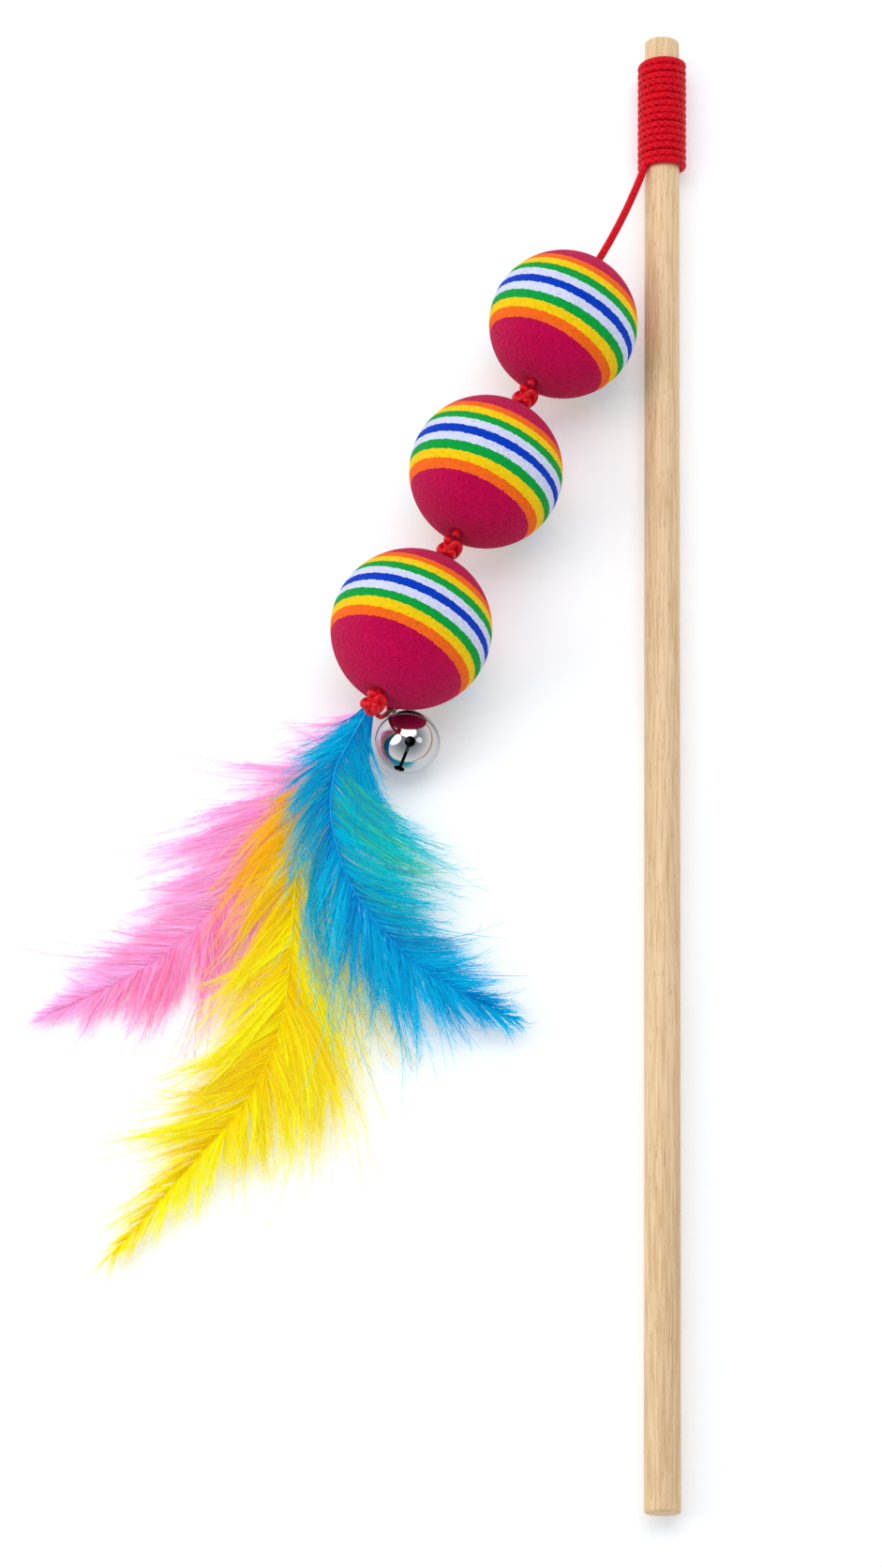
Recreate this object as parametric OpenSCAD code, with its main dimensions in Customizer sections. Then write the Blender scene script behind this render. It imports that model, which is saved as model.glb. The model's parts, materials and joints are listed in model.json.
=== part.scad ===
// Cat teaser wand: a wooden stick with a cord of three striped foam balls, a bell and feathers.
// Millimetres. The stick's axis is Y, with its butt face at the origin and its tip at +Y.
// Z is up. The toy lies on a flat table, touched by the winding, the balls and the bell.

/* [Stick] */
// Diameter of the wooden stick
dowel_d = 9.5; // [6:0.5:14]
// Length of the wooden stick
dowel_len = 406; // [250:1:600]
// Rounding of the stick's end edges
dowel_ease = 0.8; // [0.2:0.1:2]
// Bare wood between the winding and the tip
tip_bare = 7.8; // [4:0.2:30]

/* [Cord] */
// Diameter of the cord
cord_d = 1.9; // [1.2:0.1:2.4]
// Turns of cord round the stick
winding_turns = 15; // [6:1:20]
// Clear gap between neighbouring turns
turn_gap = 0.45; // [0.44:0.01:1]
// Free cord between the winding and the first ball
lead_len = 33.9; // [31:0.1:90]
// Thickness of the cord where it is pulled tight into a knot
knot_cord_d = 1.3; // [1:0.1:1.3]

/* [Balls] */
// Diameter of the first ball
ball_1_d = 40; // [34:0.5:50]
// Diameter of the second ball
ball_2_d = 41; // [34:0.5:50]
// Diameter of the last ball
ball_3_d = 42.8; // [36:0.2:50]
// Thickness of one glued foam sheet
sheet_t = 2.4; // [1.6:0.1:2.8]
// Radial clearance of the balls on the cord
bore_clear = 0.1; // [0.05:0.01:0.1]
// Depth of the dish that the cord pulls into a ball's mouth
dish_depth = 0.7; // [0.4:0.1:1.2]
// Radius of that dish at the ball's surface
dish_r = 3.4; // [2.5:0.1:4.5]
// Free space between a knot's centre and the ball beside it
knot_seat = 3.3; // [3.2:0.1:5]

/* [Bell] */
// Outer diameter of the bell
bell_d = 17; // [14:0.5:18]
// Thickness of the bell's sheet metal
bell_wall = 0.5; // [0.3:0.05:0.8]
// Width of the sound slot
slot_w = 0.85; // [0.6:0.05:1.5]
// Diameter of the round hole at each end of the slot
slot_hole_d = 2.9; // [2:0.1:3.6]
// Wire thickness of the bell's loop
loop_wire_d = 0.8; // [0.6:0.05:1]
// Wire thickness of the jump ring
ring_wire_d = 0.7; // [0.5:0.05:0.8]
// Diameter of the jump ring, measured at the middle of its wire
ring_d = 8.3; // [7.5:0.1:9]
// Diameter of the loose pellet inside the bell
pellet_d = 5.2; // [4:0.1:7]

/* [Feathers] */
// Length of the blue feather, used for its curve
blue_len = 100; // [80:1:115]
// Length of the yellow feather, used for its curve
yellow_len = 160; // [130:1:175]
// Length of the pink feather, used for its curve
pink_len = 120; // [95:1:130]
// Thickness of a quill and of the vane along it
quill_d = 1.3; // [1:0.1:1.5]
// Thickness of a vane at its edge
vane_edge_t = 0.5; // [0.3:0.1:0.8]

/* [Hidden] */
$fn = 96;

// One overrun for every cut
over = 1;
// Clear gap between pieces that stay apart
part_gap = 0.3;
// Gap between the ends of two cord lengths that bend on each other
bend_gap = 0.1;

// Colours of the six foams, from cap to middle
cap_colour = "#be0a4b";
orange_colour = "#ff7320";
yellow_colour = "#fac80f";
green_colour = "#0f9b32";
white_colour = "#d7dcf5";
blue_colour = "#0046c8";
cord_colour = "#d20f28";
steel_colour = "#c8ccd0";

// Winding: a six-sided cord with its corners out, so its flats face the next turn
wind_clear = 0.05;
wind_sides = 6;
rings_per_turn = 24;
cord_r = cord_d / 2;
cord_flat = cord_d * cos(180 / wind_sides);
pitch = cord_flat + turn_gap;
wind_r = dowel_d / 2 + wind_clear + cord_r;
// The cord starts under the stick and leaves at its left side
start_angle = -90;
turn_share = 0.25;
turns_made = winding_turns - turn_share;
wind_top_y = dowel_len - tip_bare + pitch / 2 - cord_flat / 2;
wind_end_y = wind_top_y - turns_made * pitch;
// Height of the table under the stick's axis
table_z = -(wind_r + cord_r);

// Directions: yaw is turned from -Y towards -X, and tilt lifts the lower pole
lead_yaw = 22.2;
ball_yaw = [25.2, 22.1, 23.6];
ball_tilt = [9.5, 10.6, 12.6];
link_yaw = [25.7, 23.5];

function along(yaw, rise) = [-sin(yaw) * cos(rise), -cos(yaw) * cos(rise), sin(rise)];
function unit(v) = v / norm(v);

// Lead: it bends at its root beside the last turn, and again at the first ball's mouth
root_at = [-(wind_r + cord_r - part_gap), wind_end_y - cord_flat / 2 - cord_r - bend_gap, 0];
root_len = 1.7 * cord_d;
mouth_gap = 0.3;
lead_sag = 0.4;
lead_rings = 12;
lead_sides = 8;
ball_r = [ball_1_d / 2, ball_2_d / 2, ball_3_d / 2];
mouth_z = table_z + ball_r[0] - (ball_r[0] + mouth_gap) * sin(ball_tilt[0]);
lead_rise = asin((mouth_z - root_at.z) / lead_len);
mouth_at = root_at + lead_len * along(lead_yaw, lead_rise);
lead_dir = along(lead_yaw, lead_rise);
lead_bend_at = root_at + root_len * lead_dir;

// Balls: each lower pole is lifted by its tilt, and each ball rests on the table
down_dir = [for (i = [0:2]) along(ball_yaw[i], ball_tilt[i])];
ball_1_at = mouth_at + (ball_r[0] + mouth_gap) * down_dir[0];
function link_rise(i) =
    asin((ball_r[i + 1] - ball_r[i]) / (ball_r[i] + ball_r[i + 1] + 2 * knot_seat));
link_dir = [for (i = [0:1]) along(link_yaw[i], link_rise(i))];
ball_2_at = ball_1_at + (ball_r[0] + ball_r[1] + 2 * knot_seat) * link_dir[0];
ball_3_at = ball_2_at + (ball_r[1] + ball_r[2] + 2 * knot_seat) * link_dir[1];
ball_at = [ball_1_at, ball_2_at, ball_3_at];
knot_1_at = ball_1_at + (ball_r[0] + knot_seat) * link_dir[0];
knot_2_at = ball_2_at + (ball_r[1] + knot_seat) * link_dir[1];
end_knot_at = ball_3_at + (ball_r[2] + knot_seat) * down_dir[2];

// The middle sheet sits this far above the ball's centre, along the cord
middle_off_1 = -0.4;
middle_off_2 = -0.8;
middle_off_3 = 0.7;
middle_off = [middle_off_1, middle_off_2, middle_off_3];
bore_r = cord_r + bore_clear;
// The cord in a ball stops short of each pole by the depth of the dish
dish_ball_r = (dish_r * dish_r + dish_depth * dish_depth) / (2 * dish_depth);

// Knots: a three-lobed overhand knot, round the direction of the string of balls
knot_ring_r = 1.44 * knot_cord_d;
knot_lobe_r = 0.66 * knot_cord_d;
knot_half_len = 1.6 * knot_cord_d;
knot_rings = 60;
knot_sides = 6;
knot_open = 27;

// Bell: its loop points away from the slot, down and under the last ball
bell_r = bell_d / 2;
bell_right = 9;
bell_tilt = 44;
bell_yaw = 8;
slot_turn = 13;
slot_spread = 32;
loop_turn = 133;
ring_lean = -25;
loop_lift = 0.6;
loop_r = 1.5;
eye_lift = 0.95;
seam_lip = 0.35;
ring_r = ring_d / 2;
bell_rise = bell_r - ball_r[2];
bell_reach = sqrt(pow(ball_r[2] + bell_r + part_gap, 2) - bell_rise * bell_rise
    - pow(end_knot_at.x + bell_right - ball_3_at.x, 2));
bell_at = [end_knot_at.x + bell_right, ball_3_at.y - bell_reach, table_z + bell_r];

// Turns a vector as the frames of the balls and the bell are turned
function tip_back(v, a) = [v.x, v.y * cos(a) - v.z * sin(a), v.y * sin(a) + v.z * cos(a)];
function spin(v, a) = [v.x * cos(a) - v.y * sin(a), v.x * sin(a) + v.y * cos(a), v.z];
function in_bell(v) = spin(tip_back(v, -(90 + bell_tilt)), -bell_yaw);
bell_eye = bell_at + in_bell([0, 0, bell_r + eye_lift]);
ring_tangent = in_bell(spin([1, 0, 0], loop_turn));
ring_dir = in_bell(spin([0, cos(ring_lean), sin(ring_lean)], loop_turn));
ring_top = bell_eye + ring_d * ring_dir;

// Bell tie: the cord's tail, from the end knot round the jump ring
tie_r = knot_cord_d / 2;
eye_r = ring_wire_d / 2 + part_gap + tie_r;
tie_sides = 8;
tie_start_shares = [0.92, -2, -2.23];
tie_bow_shares = [1.62, -0.92, -6.92];
tie_start = end_knot_at + knot_cord_d * tie_start_shares;
tie_bow = end_knot_at + knot_cord_d * tie_bow_shares;
tie_from = 15;
tie_sweep = 180;

// Feathers: they fan out from the end knot, layer over layer, and settle on the table
fall_run = 30;
fall_power = 3;
stations = 36;
barb_share = 0.16;
slant_share = 0.3;
quill_share = 0.06;
rib_share = 0.4;
look_share = 0.01;
// Each feather's root lies this far from the knot's centre
pink_root = 2.9;
yellow_root = 3.6;
blue_root = 3.6;
root_reach = [pink_root, yellow_root, blue_root];
// Each feather's height over the table at rest
pink_lay = 2;
yellow_lay = 4.4;
blue_lay = 7;
feather_lay = [pink_lay, yellow_lay, blue_lay];
// Slope of each quill at its root, below level
root_drop = [80, 45, 10];

// Curves of the feathers in plan from the end knot, as shares of their lengths
blue_curve_shares = [[0, 0], [-0.06, -0.065], [-0.105, -0.13], [-0.12, -0.25], [-0.075, -0.41],
    [0.01, -0.54], [0.12, -0.645], [0.24, -0.725], [0.38, -0.8]];
yellow_curve_shares = [[0, 0], [-0.055, -0.07], [-0.1, -0.15], [-0.12, -0.26], [-0.13, -0.41],
    [-0.145, -0.52], [-0.2, -0.64], [-0.29, -0.75], [-0.41, -0.895]];
pink_curve_shares = [[0, 0], [-0.09, -0.1], [-0.18, -0.2], [-0.26, -0.3], [-0.34, -0.41],
    [-0.44, -0.51], [-0.53, -0.57], [-0.63, -0.625], [-0.72, -0.665]];
// Half widths of the vanes at equal steps from root to tip, as shares of the lengths
blue_left_shares = [0.01, 0.05, 0.13, 0.16, 0.17, 0.17, 0.15, 0.1, 0.02];
blue_right_shares = [0.01, 0.03, 0.08, 0.15, 0.16, 0.15, 0.13, 0.08, 0.02];
yellow_left_shares = [0.01, 0.03, 0.07, 0.12, 0.16, 0.18, 0.15, 0.08, 0.02];
yellow_right_shares = [0.01, 0.03, 0.07, 0.12, 0.17, 0.18, 0.13, 0.07, 0.02];
pink_left_shares = [0.01, 0.05, 0.11, 0.15, 0.17, 0.16, 0.12, 0.07, 0.02];
pink_right_shares = [0.01, 0.05, 0.11, 0.15, 0.17, 0.16, 0.12, 0.07, 0.02];

// A tube through points, with its sides turned by one angle, closed by a fan at each end
function cross_dir(t, up) = unit(cross(up, t));
function tube_ring(p, t, up, r, sides, turn) =
    let (a = cross_dir(t, up), b = cross(t, a))
    [for (k = [0:sides - 1])
        p + r * cos(k * 360 / sides + turn) * a + r * sin(k * 360 / sides + turn) * b];
function tube_sides(rings, sides) = [for (i = [0:rings - 2], k = [0:sides - 1])
    let (a = i * sides + k, b = i * sides + (k + 1) % sides)
    each [[a, b + sides, b], [a, a + sides, b + sides]]];
function tube_ends(rings, sides) = [for (k = [1:sides - 2])
    each [[0, k, k + 1],
        [(rings - 1) * sides, (rings - 1) * sides + k + 1, (rings - 1) * sides + k]]];

module tube(points, ups, r, sides, turn = 0) {
    n = len(points);
    rings = [for (i = [0:n - 1])
        let (t = unit(points[min(i + 1, n - 1)] - points[max(i - 1, 0)]))
        each tube_ring(points[i], t, ups[i], r, sides, turn)];
    polyhedron(rings, concat(tube_sides(n, sides), tube_ends(n, sides)));
}

// A rod from a to b with a domed end at each
module domed_rod(a, b, r) {
    v = b - a;
    translate(a)
    rotate([0, acos(v.z / norm(v)), atan2(v.y, v.x)])
    rotate_extrude()
    intersection() {
        union() {
            circle(r);
            square([r, norm(v)]);
            translate([0, norm(v)])
            circle(r);
        }
        translate([0, -r])
        square([r, norm(v) + 2 * r]);
    }
}

// Puts its children into the frame of a ball or the bell: +Z points to the upper pole
module posed(at, tilt, yaw) {
    translate(at)
    rotate([-(90 + tilt), 0, -yaw])
    children();
}

module dowel() {
    color("#ebcda0")
    rotate([-90, 0, 0])
    rotate_extrude() {
        square([dowel_d / 2 - dowel_ease, dowel_len]);
        translate([0, dowel_ease])
        square([dowel_d / 2, dowel_len - 2 * dowel_ease]);
        for (y = [dowel_ease, dowel_len - dowel_ease])
            translate([dowel_d / 2 - dowel_ease, y])
            circle(dowel_ease);
    }
}

// The winding's helix, with a straight end one cord thickness long at each end
function wind_point(a, y) = [wind_r * cos(a), y, wind_r * sin(a)];
function wind_tangent(a) = [-sin(a), 0, cos(a)];
wind_steps = turns_made * rings_per_turn;
wind_step = 360 / rings_per_turn;
wind_last = start_angle + turns_made * 360;
wind_points = concat(
    [wind_point(start_angle, wind_top_y) - cord_d * wind_tangent(start_angle)],
    [for (i = [0:wind_steps])
        wind_point(start_angle + i * wind_step, wind_top_y - i * pitch / rings_per_turn)],
    [wind_point(wind_last, wind_end_y) + cord_d * wind_tangent(wind_last)]);
wind_ups = concat([[0, 0, 1] * sin(start_angle)],
    [for (i = [0:wind_steps])
        [cos(start_angle + i * wind_step), 0, sin(start_angle + i * wind_step)]],
    [[cos(wind_last), 0, sin(wind_last)]]);

module cord_winding() {
    color(cord_colour)
    tube(wind_points, wind_ups, cord_r, wind_sides, 90);
}

module lead_root() {
    color(cord_colour)
    domed_rod(root_at, lead_bend_at, cord_r);
}

lead_from = lead_bend_at + (cord_r + bend_gap) * lead_dir;
lead_to = mouth_at - (cord_r + bend_gap) * lead_dir;

module cord_lead() {
    points = [for (i = [0:lead_rings])
        let (s = i / lead_rings)
        lead_from + s * (lead_to - lead_from) - [0, 0, 4 * lead_sag * s * (1 - s)]];
    color(cord_colour)
    tube(points, [for (p = points) [0, 0, 1]], cord_r, lead_sides);
}

// The cord through ball i, from mouth to mouth; the first also carries the lead's bend
module ball_cord(i) {
    inner = ball_r[i] - dish_depth;
    color(cord_colour)
    posed(ball_at[i], ball_tilt[i], ball_yaw[i]) {
        translate([0, 0, -inner])
        cylinder(h = 2 * inner, r = cord_r);
        if (i == 0) {
            cylinder(h = ball_r[i] + mouth_gap, r = cord_r);
            translate([0, 0, ball_r[i] + mouth_gap])
            sphere(r = cord_r);
        }
    }
}

// The slices of ball i between each pair of heights, bored and dished for the cord
module foam(i, spans) {
    posed(ball_at[i], ball_tilt[i], ball_yaw[i])
    for (span = spans)
        difference() {
            intersection() {
                sphere(r = ball_r[i]);
                translate([0, 0, span[0]])
                cylinder(h = span[1] - span[0], r = ball_r[i] + over);
            }
            cylinder(h = 2 * (ball_r[i] + over), r = bore_r, center = true);
            for (s = [-1, 1])
                translate([0, 0, s * (ball_r[i] - dish_depth + dish_ball_r)])
                sphere(r = dish_ball_r);
        }
}

// Heights of the k-th sheet away from the middle one, above and below it
function sheets(i, k) = [for (s = [-1, 1])
    [middle_off[i] + (s * k - 0.5) * sheet_t, middle_off[i] + (s * k + 0.5) * sheet_t]];
function caps(i) = [
    [-(ball_r[i] + over), middle_off[i] - 4.5 * sheet_t],
    [middle_off[i] + 4.5 * sheet_t, ball_r[i] + over]];

module ball_caps(i) {
    color(cap_colour)
    foam(i, caps(i));
}

module ball_orange(i) {
    color(orange_colour)
    foam(i, sheets(i, 4));
}

module ball_yellow(i) {
    color(yellow_colour)
    foam(i, sheets(i, 3));
}

module ball_green(i) {
    color(green_colour)
    foam(i, sheets(i, 2));
}

module ball_white(i) {
    color(white_colour)
    foam(i, sheets(i, 1));
}

module ball_blue(i) {
    color(blue_colour)
    foam(i, [sheets(i, 0)[0]]);
}

// Three lobes twice round the axis, open at one place, with straight ends
function knot_radius(a) = knot_ring_r + knot_lobe_r * cos(1.5 * a);
function knot_point(a) = [knot_radius(a) * cos(a), knot_radius(a) * sin(a),
    knot_half_len * sin(1.5 * a)];
knot_step = (720 - 2 * knot_open) / knot_rings;
knot_body = [for (i = [0:knot_rings]) knot_point(knot_open + i * knot_step)];
knot_first = unit(knot_body[0] - knot_body[1]);
knot_last = unit(knot_body[knot_rings] - knot_body[knot_rings - 1]);
knot_points = concat([knot_body[0] + knot_cord_d / 2 * knot_first], knot_body,
    [knot_body[knot_rings] + knot_cord_d / 2 * knot_last]);

module knot(at, dir) {
    color(cord_colour)
    translate(at)
    rotate([0, acos(dir.z), atan2(dir.y, dir.x)])
    tube(knot_points, [for (p = knot_points) unit([p.x, p.y, 0])],
        knot_cord_d / 2, knot_sides);
}

function tie_arc(a) =
    let (out = unit(tie_bow - ring_top - ((tie_bow - ring_top) * ring_tangent) * ring_tangent),
        side = cross(ring_tangent, out))
    ring_top + eye_r * (cos(a) * out + sin(a) * side);
tie_turn_steps = 10;
tie_route = concat([tie_start, tie_bow],
    [for (i = [0:tie_turn_steps]) tie_arc(tie_from + i * tie_sweep / tie_turn_steps)]);

module bell_tie() {
    color(cord_colour)
    tube(tie_route, [for (p = tie_route) ring_tangent], tie_r, tie_sides);
}

module wire_ring(r, wire_d) {
    rotate_extrude()
    translate([r, 0])
    circle(d = wire_d);
}

module jump_ring() {
    color(steel_colour)
    posed(bell_at, bell_tilt, bell_yaw)
    translate([0, 0, bell_r + eye_lift])
    rotate([ring_lean, 0, loop_turn])
    translate([0, ring_r, 0])
    wire_ring(ring_r, ring_wire_d);
}

// Half of the bell's hollow ball: the upper half has side 1, the lower half -1
module bell_half(side) {
    difference() {
        sphere(r = bell_r);
        sphere(r = bell_r - bell_wall);
        translate([0, 0, side > 0 ? -(bell_r + over) : 0])
        cylinder(h = bell_r + over, r = bell_r + over);
    }
}

module bell_crown() {
    color(steel_colour)
    posed(bell_at, bell_tilt, bell_yaw)
    difference() {
        union() {
            bell_half(1);
            translate([0, 0, bell_r + loop_lift])
            rotate([0, 90, loop_turn])
            wire_ring(loop_r, loop_wire_d);
            cylinder(h = seam_lip, r = bell_r + seam_lip / 2);
        }
        sphere(r = bell_r - bell_wall);
    }
}

module bell_base() {
    reach = bell_r * sin(slot_spread);
    color(steel_colour)
    posed(bell_at, bell_tilt, bell_yaw)
    difference() {
        bell_half(-1);
        rotate([0, 0, slot_turn]) {
            translate([-slot_w / 2, -reach, -(bell_r + over)])
            cube([slot_w, 2 * reach, bell_r]);
            for (s = [-1, 1])
                rotate([180 + s * slot_spread, 0, 0])
                cylinder(h = bell_r + over, d = slot_hole_d);
        }
    }
}

module bell_pellet() {
    color(steel_colour)
    translate(bell_at - [0, 0, bell_r - bell_wall - pellet_d / 2 - bend_gap])
    sphere(d = pellet_d);
}

// A smooth curve through the points of a list, with u from 0 to the last index
function curve_at(list, u) =
    let (n = len(list) - 1, i = min(floor(u), n - 1), f = u - i,
        p0 = list[max(i - 1, 0)], p1 = list[i], p2 = list[i + 1], p3 = list[min(i + 2, n)])
    p1 + f * (p2 - p0) / 2 + f * f * (2 * p0 - 5 * p1 + 4 * p2 - p3) / 2
        + f * f * f * (3 * p1 - p0 - 3 * p2 + p3) / 2;

// Height over the table of a feather's middle at a distance from the knot's axis
function fall(r, layer) =
    let (start_r = root_reach[layer] * cos(root_drop[layer]),
        start_z = end_knot_at.z - table_z - root_reach[layer] * sin(root_drop[layer]),
        left = max(0, 1 - (r - start_r) / fall_run))
    feather_lay[layer] + (start_z - feather_lay[layer]) * pow(min(left, 1), fall_power);

// One cross-section of a feather: over the vane from right to left, and back under it
function feather_ring(shares, length, left, right, layer, i) =
    let (u = (len(shares) - 1) * i / stations,
        start = root_reach[layer] * cos(root_drop[layer]) * unit(shares[1]),
        here = length * curve_at(shares, u) + (1 - i / stations) * start,
        ahead = curve_at(shares, u + look_share) - curve_at(shares, max(u - look_share, 0)),
        t = unit(ahead),
        side = [-t.y, t.x],
        barb = i % 2 == 0 || i == stations ? 1 : 1 - barb_share,
        in_quill = i / stations < quill_share,
        wl = in_quill ? quill_d / 2 : max(quill_d / 2, length * barb * curve_at(left, u)),
        wr = in_quill ? quill_d / 2 : max(quill_d / 2, length * barb * curve_at(right, u)),
        spots = [here + wr * side + slant_share * wr * t,
            here + wr / 2 * side + slant_share / 2 * wr * t,
            here,
            here - wl / 2 * side + slant_share / 2 * wl * t,
            here - wl * side + slant_share * wl * t],
        mid_t = vane_edge_t + rib_share * (quill_d - vane_edge_t),
        thick = [vane_edge_t, mid_t, quill_d, mid_t, vane_edge_t])
    concat(
        [for (k = [0:4]) raised(spots[k], layer, thick[k] / 2)],
        [for (k = [4:-1:0]) raised(spots[k], layer, -thick[k] / 2)]);
function raised(spot, layer, up) = [end_knot_at.x + spot.x, end_knot_at.y + spot.y,
    table_z + fall(norm(spot), layer) + up];

module feather(shares, length, left, right, layer) {
    ring_points = 10;
    points = [for (i = [0:stations])
        each feather_ring(shares, length, left, right, layer, i)];
    polyhedron(points,
        concat(tube_sides(stations + 1, ring_points), tube_ends(stations + 1, ring_points)));
}

module feather_pink() {
    color("#f78ccf")
    feather(pink_curve_shares, pink_len, pink_left_shares, pink_right_shares, 0);
}

module feather_yellow() {
    color("#f5dc00")
    feather(yellow_curve_shares, yellow_len, yellow_left_shares, yellow_right_shares, 1);
}

module feather_blue() {
    color("#0096d7")
    feather(blue_curve_shares, blue_len, blue_left_shares, blue_right_shares, 2);
}

// Least gap of a tube to itself, measured on its middle line past its near neighbours
function self_gap(points, skip, across) = min([for (i = [0:len(points) - 1])
    for (j = [i + skip:1:len(points) - 1]) norm(points[i] - points[j])]) - across;
echo(least_gap_in_winding = self_gap(wind_points, rings_per_turn - 6, cord_flat));
echo(least_gap_in_knot = self_gap(knot_points, 9, knot_cord_d));

dowel();
cord_winding();
lead_root();
cord_lead();
ball_cord(0);  // ball_cord_1
ball_caps(0);  // ball_1_caps
ball_orange(0);  // ball_1_orange
ball_yellow(0);  // ball_1_yellow
ball_green(0);  // ball_1_green
ball_white(0);  // ball_1_white
ball_blue(0);  // ball_1_blue
knot(knot_1_at, link_dir[0]);  // knot_1
ball_cord(1);  // ball_cord_2
ball_caps(1);  // ball_2_caps
ball_orange(1);  // ball_2_orange
ball_yellow(1);  // ball_2_yellow
ball_green(1);  // ball_2_green
ball_white(1);  // ball_2_white
ball_blue(1);  // ball_2_blue
knot(knot_2_at, link_dir[1]);  // knot_2
ball_cord(2);  // ball_cord_3
ball_caps(2);  // ball_3_caps
ball_orange(2);  // ball_3_orange
ball_yellow(2);  // ball_3_yellow
ball_green(2);  // ball_3_green
ball_white(2);  // ball_3_white
ball_blue(2);  // ball_3_blue
knot(end_knot_at, down_dir[2]);  // end_knot
bell_tie();
jump_ring();
bell_crown();
bell_base();
bell_pellet();
feather_blue();
feather_yellow();
feather_pink();
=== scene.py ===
"""Looks of a cat teaser wand: stick, wound cord, striped foam balls, bell and feathers."""

from __future__ import annotations

import json
import logging
import math
from dataclasses import dataclass
from enum import Enum
from typing import Any, Sequence

import bpy
import numpy as np
from mathutils import Matrix, Vector


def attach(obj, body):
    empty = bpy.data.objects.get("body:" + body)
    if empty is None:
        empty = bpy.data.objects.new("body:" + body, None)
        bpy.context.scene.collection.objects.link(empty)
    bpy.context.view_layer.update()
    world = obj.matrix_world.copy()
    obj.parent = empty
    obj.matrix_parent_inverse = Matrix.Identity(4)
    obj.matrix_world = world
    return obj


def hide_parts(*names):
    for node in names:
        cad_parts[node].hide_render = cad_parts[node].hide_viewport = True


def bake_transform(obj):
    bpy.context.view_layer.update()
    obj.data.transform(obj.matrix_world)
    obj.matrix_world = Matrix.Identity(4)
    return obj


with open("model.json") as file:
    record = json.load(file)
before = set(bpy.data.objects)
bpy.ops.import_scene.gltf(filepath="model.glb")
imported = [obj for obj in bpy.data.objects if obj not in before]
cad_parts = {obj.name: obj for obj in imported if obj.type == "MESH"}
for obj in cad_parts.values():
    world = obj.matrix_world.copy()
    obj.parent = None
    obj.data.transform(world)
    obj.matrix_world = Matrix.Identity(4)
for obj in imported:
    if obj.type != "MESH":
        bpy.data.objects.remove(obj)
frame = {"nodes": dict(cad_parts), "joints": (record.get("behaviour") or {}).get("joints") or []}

LOG = logging.getLogger("teaser_wand")
MM = 0.001
UP = np.array([0.0, 0.0, 1.0])
TURN = 2 * math.pi
TABLE_Z = -6.7 * MM
CORD_SLOT = "cord_red"
STRAND_CORNERS = (30, 150, 270)
STRAND_FLAT = 0.6

Array = np.ndarray
Chance = np.random.Generator
Material = bpy.types.Material
Piece = bpy.types.Object
Pair = tuple[float, float]
Rgb = tuple[float, float, float]
Spot = tuple[float, float, float]
BLACK: Rgb = (0.0, 0.0, 0.0)
WHITE: Rgb = (1.0, 1.0, 1.0)


def unit(v: Sequence[float]) -> Array:
    """Returns a vector's direction."""
    a = np.asarray(v, float)
    return a / np.linalg.norm(a)


def units(rows: Array) -> Array:
    """Returns the directions of rows of vectors."""
    return rows / np.maximum(np.linalg.norm(rows, axis=-1), 1e-12)[..., None]


def joint(name: str) -> dict[str, Any]:
    """Returns a joint of the frame by its name."""
    return next(j for j in frame["joints"] if j["name"] == name)


def joint_spot(name: str) -> Array:
    """Returns the point that a joint turns about, in metres."""
    return np.array(joint(name)["pos_m"], float)


def joint_axis(name: str) -> Array:
    """Returns the direction of a joint's axis."""
    return unit(joint(name)["axis"])


def smooth_curve(points: Array, u: Array) -> Array:
    """Follows a smooth curve through points.

    Args:
        points: The rows of points or values that the curve passes through.
        u: Places along the curve, from 0 to the last row's number.

    Returns:
        One row for each place.
    """
    last = len(points) - 1
    i = np.clip(np.floor(u).astype(int), 0, last - 1)
    f = u - i
    if points.ndim > 1:
        f = f[:, None]
    a, b = points[np.maximum(i - 1, 0)], points[i]
    c, d = points[i + 1], points[np.minimum(i + 2, last)]
    bend = 2 * a - 5 * b + 4 * c - d
    turn = 3 * b - a - 3 * c + d
    return b + f * (c - a) / 2 + f * f * bend / 2 + f**3 * turn / 2


def rise(x: Array, start: float, run: float) -> Array:
    """Returns how far each x is on a run from a start, kept from 0 to 1."""
    return np.clip((x - start) / run, 0, 1)


def grid_faces(rows: int, columns: int, closed: bool = False) -> Array:
    """Returns the four-cornered faces between rows of vertices.

    Args:
        rows: How many rows there are.
        columns: How many vertices each row has.
        closed: True where the last vertex of a row joins its first.

    Returns:
        One face a line, in the order of the rows.
    """
    spans = columns if closed else columns - 1
    i, k = np.meshgrid(np.arange(rows - 1), np.arange(spans), indexing="ij")
    a = i * columns + k
    b = i * columns + (k + 1) % columns
    return np.stack([a, b, b + columns, a + columns], axis=-1).reshape(-1, 4)


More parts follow.
